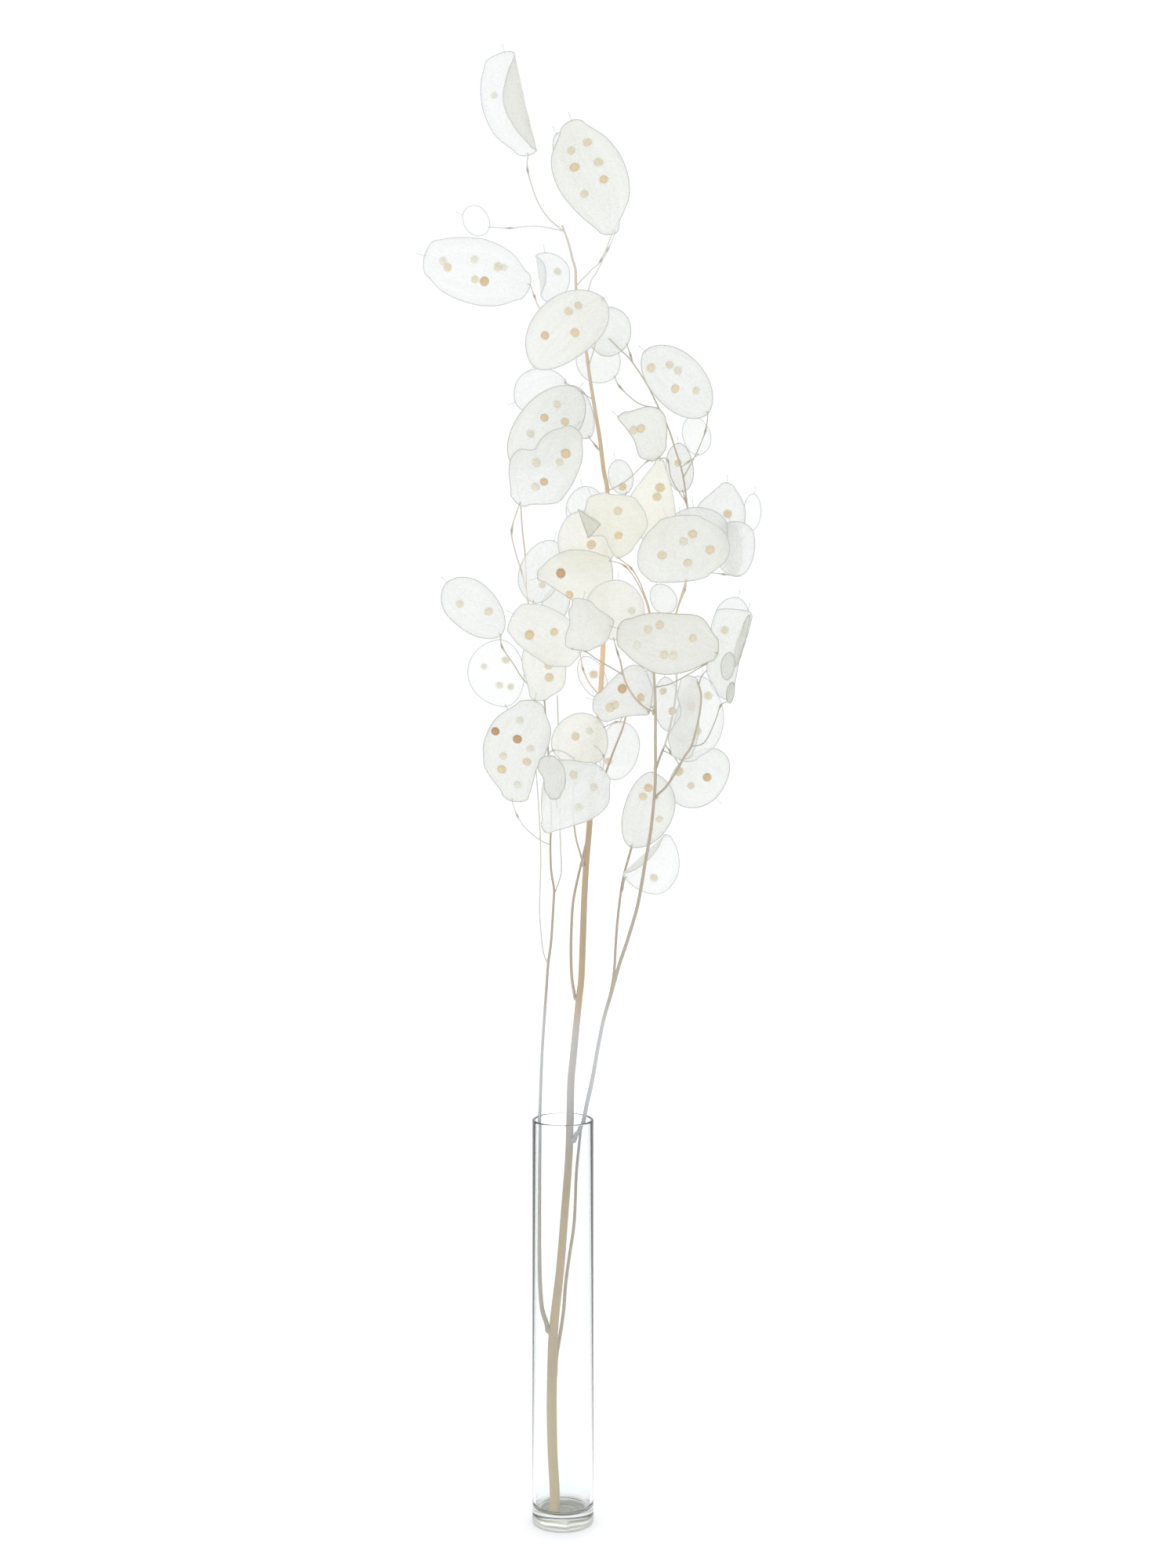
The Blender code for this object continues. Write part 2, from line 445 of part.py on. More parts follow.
def side_width(pod, side, t):
    """Half the width on one side at share t of the length, as a rounded oval with its belly where it is widest."""
    if pod.outline:
        stops = [(0.0, 0.0), *zip(ROW_STATIONS, [pair[side] for pair in pod.outline]), (1.0, 0.0)]
        for (below, narrow), (above, wide) in zip(stops, stops[1:]):
            if t <= above:
                return lerp(narrow, wide, (t - below) / (above - below))
    belly = pod.belly[side]
    power, root = POD_ROUNDNESS
    u = 0.5 * t / belly if t < belly else 1.0 - 0.5 * (1.0 - t) / (1.0 - belly)
    return pod.width[side] * (1.0 - abs(2.0 * u - 1.0) ** power) ** root


class Blade:
    """A pod's own frame: from base to tip along, across to its right, and out towards the eye."""

    def __init__(self, pod):
        self.pod = pod
        self.base = placed(*pod.base, pod.depth[0])
        self.tip = placed(*pod.tip, pod.depth[1])
        self.along = self.tip - self.base
        self.length = self.along.length
        self.along.normalize()
        sight = (EYE - self.base).normalized()
        facing = (sight - self.along * sight.dot(self.along)).normalized()
        across = self.along.cross(facing)
        roll = math.radians(pod.roll)
        self.across = across * math.cos(roll) + facing * math.sin(roll)
        self.out = facing * math.cos(roll) - across * math.sin(roll)
        self.spread = (1.0 + sum(pod.depth) / 2 / -EYE.y) / math.cos(roll)

    def widths(self, t):
        return side_width(self.pod, 0, t) * self.spread, side_width(self.pod, 1, t) * self.spread

    def section(self, s, fold):
        """Where arc length s across the blade lies, with its normal: flat to the fold, then turned over it."""
        if not fold or (s - fold) * math.copysign(1.0, fold) <= 0.0:
            return s, 0.0, (0.0, 1.0)
        sign = math.copysign(1.0, fold)
        over = abs(s - fold)
        most = math.radians(158.0)
        angle = min(over / FOLD_RADIUS, most)
        rest = max(over - FOLD_RADIUS * most, 0.0)
        x = fold + sign * (FOLD_RADIUS * math.sin(angle) + rest * math.cos(angle))
        rise = FOLD_RADIUS * (1.0 - math.cos(angle)) + rest * math.sin(angle)
        return x, rise, (-sign * math.sin(angle), math.cos(angle))

    def point(self, t, s, fold, offset):
        """The point at share t along and arc length s across, lifted off the membrane's middle by offset."""
        x, rise, (turned, up) = self.section(s, fold)
        left, right = self.widths(t)
        cup = POD_CUP * (left + right) * (1.0 - (2.0 * x / (left + right + 0.01)) ** 2 - 0.4)
        bow = 0.045 * self.length * math.sin(math.pi * t)
        return (self.base + self.along * (self.length * t) + self.across * (x + turned * offset)
                + self.out * (rise + cup * math.sin(math.pi * t) + bow + up * offset))

    def columns(self, t):
        """The arc lengths of the columns at this station, the fold's own place, and how thick each column is."""
        left, right = self.widths(t)
        if not self.pod.fold:
            middle = (right - left) / 2
            half = (right + left) / 2
            spots = [middle + half * column for column in HALF_COLUMNS]
            return spots, 0.0
        fold = self.pod.fold * self.spread
        if fold > 0:
            fold = min(fold, FOLD_REACH * right)
            flat = [lerp(-left, fold, share) for share in (0.0, 0.5)]
            return flat + [lerp(fold, right, share) for share in FLAP_COLUMNS], fold
        fold = max(fold, -FOLD_REACH * left)
        flat = [lerp(fold, right, share) for share in (0.5, 1.0)]
        return [lerp(-left, fold, share) for share in FLAP_COLUMNS] + flat, fold


def blade_mesh(blade, name, collection):
    """The pod's membrane with its thicker rim, as one closed sheet."""
    vertices = []
    faces = []
    base = blade.point(0.0, 0.0, 0.0, 0.0)
    tip = blade.point(1.0, 0.0, 0.0, 0.0)
    rows = []
    for t in SMALL_STATIONS if blade.length < SMALL_POD else ROW_STATIONS:
        spots, fold = blade.columns(t)
        row = []
        for i, spot in enumerate(spots):
            thick = POD_RIM if i in (0, len(spots) - 1) else MEMBRANE
            row.append((len(vertices), len(vertices) + 1))
            vertices.append(blade.point(t, spot, fold, thick / 2))
            vertices.append(blade.point(t, spot, fold, -thick / 2))
        rows.append(row)
    ends = []
    for point in (base, tip):
        ends.append((len(vertices), len(vertices) + 1))
        vertices.append(point + blade.out * POD_RIM / 2)
        vertices.append(point - blade.out * POD_RIM / 2)
    for below, above in zip(rows, rows[1:]):
        for i in range(len(below) - 1):
            for face in (0, 1):
                a, b, c, d = below[i][face], below[i + 1][face], above[i + 1][face], above[i][face]
                faces.append((a, b, c))
                faces.append((a, c, d))
        for i in (0, -1):
            faces.append((below[i][0], above[i][0], above[i][1]))
            faces.append((below[i][0], above[i][1], below[i][1]))
    for row, end in ((rows[0], ends[0]), (rows[-1], ends[1])):
        for i in range(len(row) - 1):
            for face in (0, 1):
                faces.append((row[i][face], row[i + 1][face], end[face]))
        for i in (0, -1):
            faces.append((row[i][0], row[i][1], end[1]))
            faces.append((row[i][0], end[1], end[0]))
    return mesh_object(name, vertices, faces, collection)


def seed_mesh(blade, place, name, collection):
    """A flat round seed that stands out of both faces of the membrane."""
    pod = blade.pod
    reach = Vector((place[0] - pod.base[0], place[1] - pod.base[1]))
    axis = Vector((pod.tip[0] - pod.base[0], pod.tip[1] - pod.base[1]))
    t = reach.dot(axis) / axis.length_squared
    s = reach.dot(Vector((axis.y, -axis.x)).normalized()) * blade.spread
    centre = blade.point(t, s, 0.0, 0.0)
    along = (blade.point(t + 0.02, s, 0.0, 0.0) - centre).normalized()
    out = (blade.out - along * blade.out.dot(along)).normalized()
    across = along.cross(out)
    vertices = []
    for k in range(SEED_SIDES):
        angle = math.tau * k / SEED_SIDES
        vertices.append(centre + (along * math.cos(angle) + across * math.sin(angle)) * SEED_RADIUS)
    vertices.append(centre + out * SEED_RISE)
    vertices.append(centre - out * SEED_RISE)
    faces = []
    for k in range(SEED_SIDES):
        beside = (k + 1) % SEED_SIDES
        faces.append((k, beside, SEED_SIDES))
        faces.append((beside, k, SEED_SIDES + 1))
    return mesh_object(name, vertices, faces, collection)


def style_mesh(blade, name, collection):
    """The thin style that stays on the pod's tip."""
    start = blade.point(0.93, 0.0, 0.0, 0.0)
    end = blade.point(1.0, 0.0, 0.0, 0.0) + blade.along * STYLE_LENGTH
    return tube(name, [start, end], [STYLE_RADIUS, STYLE_RADIUS * 0.7], 3, collection)


def stalk_mesh(blade, spray, path, name, collection):
    """The pod's stalk, from well inside the blade's base to the stem's middle, with a knob part way."""
    pod = blade.pod
    centre, _, _ = point_on(path, spray, pod.root)
    inside = blade.point(0.06, 0.0, 0.0, 0.0)
    seen = [pod.base, *pod.via]
    root_depth = centre.y
    points = [inside, blade.point(0.0, 0.0, 0.0, 0.0)]
    for i, (x, z) in enumerate(seen[1:], start=1):
        share = i / len(seen)
        points.append(placed(x, z, lerp(pod.depth[0], root_depth, share)))
    points.append(centre)
    radii = [STALK_RADIUS] * len(points)
    if len(points) > 3:
        radii[2] = KNOB_RADIUS
    return tube(name, points, radii, STALK_SIDES, collection)


def join_collection(obj, collection):
    """Fuses everything in the collection to the object, then removes the collection's objects."""
    union = obj.modifiers.new("fuse", "BOOLEAN")
    union.operation = "UNION"
    union.operand_type = "COLLECTION"
    union.collection = collection
    union.solver = "MANIFOLD"
    bpy.context.view_layer.objects.active = obj
    bpy.context.view_layer.update()
    bpy.ops.object.modifier_apply(modifier=union.name)
    for part in list(collection.objects):
        bpy.data.objects.remove(part, do_unlink=True)
    bpy.data.collections.remove(collection)


def build_spray(name, paths, material):
    spray = SPRAYS[name]
    path = stem_path(spray, paths)
    paths[name] = path
    last = len(path) - 1
    radii = [stem_radius(spray, i / last) for i in range(len(path))]
    sides = STEM_SIDES if spray.parent else MAIN_SIDES
    stem = tube(name, path, radii, sides)
    parts = bpy.data.collections.new(name + "_parts")
    bpy.context.scene.collection.children.link(parts)
    for i, pod in enumerate(spray.pods):
        blade = Blade(pod)
        blade_mesh(blade, f"{name}_blade_{i}", parts)
        style_mesh(blade, f"{name}_style_{i}", parts)
        stalk_mesh(blade, spray, path, f"{name}_stalk_{i}", parts)
        for k, place in enumerate(pod.seeds):
            seed_mesh(blade, place, f"{name}_seed_{i}_{k}", parts)
    for i, twig in enumerate(spray.twigs):
        tube(f"{name}_twig_{i}", [placed(*point) for point in twig], [TWIG_RADIUS] * len(twig), 4, parts)
    join_collection(stem, parts)
    stem.data.materials.clear()
    stem.data.materials.append(material)
    return stem


def arc(centre, radius, start, end):
    """Points of a circular arc in the profile's plane, from one angle to the other in degrees."""
    points = []
    for i in range(ROUND_STEPS + 1):
        angle = math.radians(lerp(start, end, i / ROUND_STEPS))
        points.append((centre[0] + radius * math.cos(angle), centre[1] + radius * math.sin(angle)))
    return points


def build_vase(material):
    """A turned tube: the profile runs from the underside's centre, up the outside, over the rim and down inside."""
    inner = VASE_RADIUS - VASE_WALL
    middle = VASE_RADIUS - VASE_WALL / 2
    rim = VASE_HEIGHT - VASE_RIM_ROUND
    profile = [
        (0.0, 0.0),
        *arc((VASE_RADIUS - VASE_FOOT_ROUND, VASE_FOOT_ROUND), VASE_FOOT_ROUND, -90, 0),
        (VASE_RADIUS, rim),
        (middle + VASE_RIM_ROUND, VASE_HEIGHT),
        (middle - VASE_RIM_ROUND, VASE_HEIGHT),
        (inner, rim),
        *arc((inner - VASE_INNER_ROUND, VASE_FLOOR + VASE_INNER_ROUND), VASE_INNER_ROUND, 0, -90),
        (0.0, VASE_FLOOR),
    ]
    vertices = [Vector((0.0, 0.0, profile[0][1])), Vector((0.0, 0.0, profile[-1][1]))]
    rings = []
    for radius, height in profile[1:-1]:
        rings.append(len(vertices))
        for k in range(VASE_SIDES):
            angle = math.tau * k / VASE_SIDES
            vertices.append(Vector((radius * math.cos(angle), radius * math.sin(angle), height)))
    faces = []
    for below, above in zip(rings, rings[1:]):
        for k in range(VASE_SIDES):
            beside = (k + 1) % VASE_SIDES
            faces.append((below + k, below + beside, above + beside, above + k))
    for k in range(VASE_SIDES):
        beside = (k + 1) % VASE_SIDES
        faces.append((0, rings[0] + beside, rings[0] + k))
        faces.append((1, rings[-1] + k, rings[-1] + beside))
    vase = mesh_object("vase", vertices, faces)
    vase.data.shade_smooth()
    vase.data.set_sharp_from_angle(angle=math.radians(40))
    vase.data.materials.append(material)
    return vase


def main():
    clear_scene()
    glass = make_material("clear_glass", (0.93, 0.96, 0.95), 0.03, alpha=0.35, transmission=1.0)
    papery = make_material("dried_pods_and_stem", (0.86, 0.83, 0.74), 0.6)
    build_vase(glass)
    paths = {}
    for name in SPRAYS:
        build_spray(name, paths, papery)


main()
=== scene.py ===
import json
import math
import random
from typing import NamedTuple

import bmesh
import bpy
from bpy.props import FloatProperty, FloatVectorProperty, IntProperty, PointerProperty
from mathutils import Matrix, Vector

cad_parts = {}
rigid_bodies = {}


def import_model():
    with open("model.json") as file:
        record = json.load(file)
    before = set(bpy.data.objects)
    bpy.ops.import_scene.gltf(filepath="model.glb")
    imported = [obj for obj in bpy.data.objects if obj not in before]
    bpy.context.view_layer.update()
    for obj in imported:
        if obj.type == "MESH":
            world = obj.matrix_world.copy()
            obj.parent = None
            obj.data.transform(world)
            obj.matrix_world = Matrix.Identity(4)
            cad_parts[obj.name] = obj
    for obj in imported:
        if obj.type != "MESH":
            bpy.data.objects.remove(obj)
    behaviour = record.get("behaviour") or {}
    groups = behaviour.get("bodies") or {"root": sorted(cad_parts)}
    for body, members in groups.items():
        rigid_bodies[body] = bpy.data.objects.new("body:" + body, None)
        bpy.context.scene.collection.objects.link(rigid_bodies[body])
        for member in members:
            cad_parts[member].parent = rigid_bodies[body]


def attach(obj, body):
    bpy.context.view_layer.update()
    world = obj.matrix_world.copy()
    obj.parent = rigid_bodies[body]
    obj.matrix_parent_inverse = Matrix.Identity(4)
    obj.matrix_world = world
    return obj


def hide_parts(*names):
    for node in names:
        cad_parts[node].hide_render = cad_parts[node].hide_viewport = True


bl_info = {
    "name": "Honesty Seed Pod Stem",
    "version": (1, 0, 0),
    "blender": (4, 5, 0),
    "location": "3D View > Sidebar > Honesty",
    "description": "Builds a dried honesty stem with papery seed pods in a slim glass cylinder vase",
    "category": "Add Mesh",
}

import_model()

MM = 0.001

# The eye of the photograph, in millimetres. Places on the plant are read in the plane of the vase's axis and
# then slid along the line of sight to their depth, where a negative depth is nearer to the eye.
EYE = Vector((12.3, -1069.5, 427.0))


class Pod(NamedTuple):
    """A seed pod: base and tip seen at (x, z), half-widths left and right of that axis with the tip up, and
    the depth at the base and at the tip. Belly is how far along each side is widest. A pod of freer outline
    has a row of half-widths, one pair for each station. The stalk runs from the base through via to the stem
    at height root. Pale is how much a pod clears and fades into the light, partly painted light, at its base
    and at its tip, and flap the same beyond its fold. Warm is painted light that turns it yellow where light
    gathers, and below 0 it dims it with the painted shade of a folded membrane. Stalk pales its stalk with
    painted light, and wave is how much it buckles. A seed's third number is its tone, from pale to dark red."""

    base: tuple
    tip: tuple
    width: tuple
    depth: tuple
    root: float = 0.0
    via: tuple = ()
    belly: tuple = (0.5, 0.5)
    roll: float = 0.0
    fold: float = 0.0
    pale: tuple = (0.4, 0.4)
    flap: float = 0.1
    warm: float = 0.0
    stalk: float = 0.3
    wave: float = 0.7
    stations: tuple = (0.07, 0.25, 0.5, 0.75, 0.93)
    seeds: tuple = ()


class Spray(NamedTuple):
    """A stem seen through points (x, z, depth), its radius at both ends, the pods on it, where it sprouts,
    and its thin side twigs, each of which starts inside it. Scraps are folded bits of membrane that lie
    against its pods. Grey turns the bark from orange tan to grey olive. Fade pales it with painted light, and
    so does the painted light between the hidden heights. Taper is how soon it thins."""

    points: tuple
    radius: tuple
    pods: tuple
    parent: str = ""
    root: float = 0.0
    twigs: tuple = ()
    scraps: tuple = ()
    grey: float = 0.5
    fade: float = 0.15
    hidden: tuple = (0.0, 0.0)
    taper: float = 0.8


MAIN_STEM = Spray(
    radius=(2.45, 0.5), taper=0.9, grey=0, fade=0,
    points=(
        (-4.1, 4.5, -8.4), (-3.9, 13.1, -8.2), (-4.6, 26.6, -7.8), (-5, 34.3, -7.6), (-5.4, 53.5, -6.8),
        (-5.4, 61.2, -6.2), (-4.7, 92, -4.4), (-1.4, 122.8, -2.6), (0.5, 145.9, -1.4), (2.9, 176.7, 0.2),
        (3.5, 196, 1), (3.9, 215.2, 1.6), (5, 226.8, 1.9), (6.5, 242.2, 2.2), (8.1, 257.6, 2.4),
        (9.2, 269.1, 2.5), (10.4, 303.8, 2.6), (11.5, 323, 2.7), (13.1, 342.3, 2.8), (14.2, 361.5, 3),
        (16.2, 381, 3), (18.1, 400, 3), (19.6, 427, 2.2), (20.5, 452, 1), (21.2, 477, -0.5),
        (21.9, 504, -2.5), (20, 515.5, -3), (18.1, 530.9, -4), (16.2, 542.5, -4.6), (14.6, 552.1, -5.2),
        (13.1, 561.7, -5.8), (11.5, 573.3, -6.5), (9, 589, -7.4), (6.5, 604.1, -8.2), (6.2, 613.7, -8.8),
        (4.6, 619.5, -9.2), (2.7, 627.2, -9.6), (-0.4, 636, -10),
    ),
    pods=(
        Pod((-17.2, 670.1), (-28.9, 721.1), ((5.8, 9), (13.3, 14.6), (16.3, 17), (14.8, 12), (10.5, 6)),
            (-6, -3), 632.5, via=((-17.4, 663), (-12.9, 648.6), (-7.1, 639.4)), roll=4, fold=4, pale=0.85,
            flap=0, stalk=0, seeds=((-33.5, 699, 0.02),)),
        Pod((-36, 635), (-49.2, 641), (6.5, 7), (24, 28), 633, via=((-26, 634.5), (-13, 635.5)), roll=30,
            pale=1.25, stalk=0.9),
        Pod((25.5, 631.8), (4.2, 687.5), ((7, 3.6), (13.2, 13.2), (18, 16.3), (16.3, 13), (7.4, 5.6)),
            (-19, -18), 585, via=((22, 624), (17, 613.7), (13, 606)), roll=-6, pale=(0.95, 0.15), warm=0.15,
            stalk=0.6, seeds=((4, 672, 0.3), (12, 676, 0.35), (5.7, 663.5, 0.6), (17.3, 666, 0.3),
            (20, 657.5, 0.6), (10.5, 650.5, 0.35))),
        Pod((24, 631.5), (-3.2, 681), (8, 12.5), (-6, -1), 606, via=((18.5, 618.5), (14, 614)),
            belly=(0.55, 0.5), roll=8, pale=0.75),
        Pod((-16, 606.5), (-68, 621), ((8.2, 6), (14, 12.9), (16.2, 15.5), (14.5, 13), (9, 8.8)), (-12, -19),
            577, via=((-14, 601), (-10.8, 594.5), (0, 586)), roll=8, pale=(0.85, 0.9), wave=1.3, stalk=0.1,
            seeds=((-59, 618.6, 0.1), (-56.7, 615.7, 0.4), (-43.5, 619.5, 0.05), (-32, 616, 0.3),
            (-29, 615.4, 0.05), (-43.3, 610, 0.3), (-38.7, 609, 0.75))),
        Pod((-6, 598), (-9, 622.5), (9.5, 11), (8, 12), 588, via=((-1, 592),), belly=(0.6, 0.6), roll=-14,
            fold=-4, pale=0.95, flap=0.75, stalk=0.8, seeds=((-3, 613, 0.1),)),
        Pod((20, 600), (-14.5, 566.5), (12.8, 18), (-20, -26), 566, via=((18.8, 592), (16, 578)),
            belly=(0.38, 0.5), roll=-5, pale=(0.4, 0.95), warm=0.25, seeds=((7.3, 596, 0.35),
            (2.5, 593, 0.3), (-9, 581.3, 0.65), (5.5, 582.4, 0.55))),
        Pod((1.5, 558.5), (-23.5, 549), (9, 12), (14, 19), 550, via=((9, 554),), belly=(0.5, 0.6), roll=-16,
            pale=0.85),
        Pod((13, 531.5), (2.5, 557), (9.5, 7), (6, 9), 524, belly=(0.5, 0.58), roll=12, pale=0.65),
        Pod((47.5, 522), (27, 542), ((4.4, 6.4), (6.4, 12.2), (2.8, 16.5), (1.2, 13.5), (0.8, 5)), (-8, -12),
            505.5, via=((42, 520.5), (33, 512), (27, 508)), roll=8, pale=0.1, seeds=((34.8, 535.6, 0.3),
            (38.3, 536.4, 0.45))),
        Pod((14.5, 484), (9.5, 507.5), (10.5, 9), (14, 19), 476, belly=(0.5, 0.55), roll=10, pale=0.9),
        Pod((20, 468), (4, 494), (15.5, 14), (-4.5, -4), 458, belly=(0.38, 0.5), pale=0.9, warm=0.45,
            seeds=((14, 479, 0.5),)),
        Pod((31, 504), (26, 520.5), (6, 6), (24, 27), 492, roll=20, pale=0.8, seeds=((29.5, 507.5, 0.5),)),
        Pod((8.5, 425.5), (-24.5, 445), ((9, 6), (12.6, 10.4), (12.6, 12.2), (11.5, 11), (8.8, 7.4)),
            (-2, -6), 404.5, via=((9.8, 418), (13, 411)), roll=4, pale=(1, 0.75), warm=0.3,
            seeds=((-16.5, 435, 0.65), (-4.5, 436.5, 0.5))),
    ),
)

LEFT_SPRAY = Spray(
    parent="main_stem", root=93, radius=(1.4, 0.3), taper=0.55, grey=0.8,
    points=(
        (-10.2, 103.6, -3.8), (-11.2, 115.1, -3.4), (-11.6, 130, -2.8), (-11.7, 149.4, -2),
        (-11.7, 169, -1.2), (-11.6, 186, -0.6), (-11.5, 197, 0.2), (-11.1, 207.5, 1), (-10.4, 226.8, 2.4),
        (-9.2, 246, 3.8), (-8.1, 261.4, 5), (-7.3, 273, 5.8), (-5.8, 284.5, 6.6), (-4.6, 303.8, 7.6),
        (-4.4, 310, 8), (-5.8, 319, 8.6), (-6.2, 331.5, 9.2), (-5.8, 345, 9.8), (-6.4, 362, 10.6),
        (-7.4, 380, 11.6), (-8.9, 400, 12.8), (-10.8, 427, 13.2), (-15, 441, 11.6), (-17.7, 455, 9.6),
        (-18.5, 473, 6.6), (-20, 487, 4.4), (-20.8, 500, 3),
    ),
    twigs=(
        ((-7.3, 273, 5.8), (-9.6, 278.7, 6.4), (-10.8, 288.4, 7.6), (-11.5, 300, 9.2), (-11.2, 311.5, 11),
         (-10.9, 327, 13.6), (-11.6, 345, 16.6), (-13, 365, 19.5), (-14.5, 383, 21.5)),
        ((-4.5, 307, 7.8), (-2.2, 313, 9.6), (-0.8, 319, 11.4), (-1.2, 331, 13.8), (-1.6, 346, 16),
         (-1.9, 366, 17.6), (-2.2, 386, 18.4), (-2.8, 405, 18.8)),
    ),
    pods=(
        Pod((-21.5, 498.5), (6, 536.5), ((7.2, 3.8), (14.5, 14.2), (17, 15.2), (15.2, 15), (10.2, 14.6),
            (10.3, 13.6), (10, 12.3), (8, 9.6), (4.8, 6.3)), (-10, -18), 456, via=((-25.2, 486),
            (-23.5, 476), (-20.4, 466)), roll=-6, pale=(0.75, 0.25),
            stations=(0.07, 0.25, 0.4, 0.5, 0.56, 0.65, 0.75, 0.85, 0.93), seeds=((1.3, 524.2, 0.65),
            (-1.7, 520, 0.25), (-13, 520, 0.25), (-9.3, 510.5, 0.75), (-13.5, 508, 0.2))),
        Pod((-24, 517), (7.5, 555.5), (14.4, 13.5), (2, -4), 498, via=((-22.6, 509),), belly=(0.5, 0.62),
            roll=7, pale=0.35, seeds=((-2.5, 548, 0.2), (-8.7, 541.3, 0.65), (-15.5, 533.5, 0.15),
            (1.3, 539.5, 0.5))),
        Pod((-14.5, 450.5), (-4.5, 481), (11.7, 9), (9, 5), 436, belly=(0.45, 0.5), roll=-10, pale=0.85,
            seeds=((-10.5, 459.5, 0.2),)),
        Pod((-30.5, 434.5), (-57, 460.5), (11.4, 12.2), (-6, -13), 402, via=((-30, 429), (-24, 420),
            (-19.5, 413)), belly=(0.62, 0.58), roll=14, pale=0.6, seeds=((-50.5, 450.5, 0.25),
            (-36.5, 447, 0.3))),
        Pod((-28, 399.5), (-31, 432.5), (17, 10), (24, 31), 378, via=((-22, 393), (-14, 384)), roll=-12,
            pale=1.2, stalk=0.95, seeds=((-39, 418.5, 0), (-28.5, 422, 0.15), (-31.5, 409.5, 0),
            (-26, 409, 0.15))),
        Pod((-13.5, 402.5), (-9, 434), ((3.2, 6), (5.5, 12.2), (9, 12.8), (9.2, 11), (5.5, 6)), (4, 7), 381,
            via=((-14, 398), (-13, 389)), roll=-8, pale=(1, 0.6), warm=0.3, stalk=0.8,
            seeds=((-7.5, 419.5, 0.4), (-7, 413.8, 0.45))),
        Pod((-25, 353), (-14, 402.5), ((6, 7.5), (16.3, 8.2), (18.6, 8.4), (19.8, 10.8), (16.5, 11.2),
            (8, 5.8)), (-6, -11), 331.5, via=((-22.5, 346), (-18.5, 340), (-12, 334.5)), roll=5,
            pale=(0.2, 0.45), wave=1.1, stalk=0.9, stations=(0.07, 0.25, 0.36, 0.5, 0.75, 0.93),
            seeds=((-33, 387.5, 1), (-22, 384, 0.95), (-21, 393, 0.1), (-15.5, 379.5, 0.1),
            (-29, 375.5, 0.2), (-17.3, 373, 0.45), (-29.8, 369, 0.55), (-22, 361.5, 0.05))),
        Pod((-7, 440), (0.5, 458), (7, 6), (19, 22), 425, roll=15, pale=0.55),
    ),
)

MIDDLE_SPRAY = Spray(
    parent="main_stem", root=256, radius=(0.85, 0.45), grey=0.4,
    points=(
        (4.3, 267, 4.5), (3.9, 279, 5), (4.2, 292, 6), (5, 303.8, 7.5), (7.3, 315.3, 9), (9.6, 325, 10.5),
        (12.4, 337, 12.5), (15.5, 350, 15), (20, 364, 17.5), (25, 378, 19.5), (29, 388, 21), (31, 396, 22.5),
        (31, 403, 24),
    ),
    pods=(
        Pod((20.5, 389.5), (-5, 378), (14.3, 12), (-1, -4), 392, via=((26, 392),), belly=(0.38, 0.45),
            roll=-4, pale=(0.7, 1.1), warm=0.4, seeds=((6, 384.7, 0.35), (13, 387.5, 0))),
        Pod((28, 392.3), (25.5, 363.5), (10.5, 9), (28, 35), 398, belly=(0.42, 0.5), roll=14, pale=0.85,
            seeds=((22, 373.5, 0.4),)),
        Pod((19, 404), (10, 424), (6.5, 6.2), (27, 30), 401, roll=-18, pale=1.15, stalk=0.9,
            seeds=((14.8, 415, 0.35),)),
    ),
)

INNER_SPRAY = Spray(
    parent="main_stem", root=321, radius=(0.6, 0.35), grey=0.5, fade=0.2,
    points=(
        (8.3, 328, -1), (6.5, 334.5, -4), (5.4, 343, -7.5), (5, 355, -9), (6.5, 367, -5), (9.5, 377, 2),
        (11.5, 385, 3.5),
    ),
    pods=(
        Pod((19.5, 369), (-9, 338), ((7.5, 7.5), (13.5, 17.5), (12.8, 18.5), (7.5, 12), (2.8, 4.5)),
            (-20, -24), 381, via=((20, 375), (16, 380)), roll=5, pale=(0.5, 0.72), wave=1.4, stalk=0.9,
            seeds=((5, 366, 0.2), (15, 360, 0.1), (7.5, 350.2, 0))),
        Pod((-7, 375.5), (-3.5, 354), ((3.2, 4.6), (5.8, 6.2), (6.6, 4.8), (5, 4.8), (2.4, 3)), (-31, -33),
            372, via=((-5, 378), (1, 377)), roll=16, pale=0.25, warm=-0.06, wave=1.6, stalk=0.9),
    ),
)

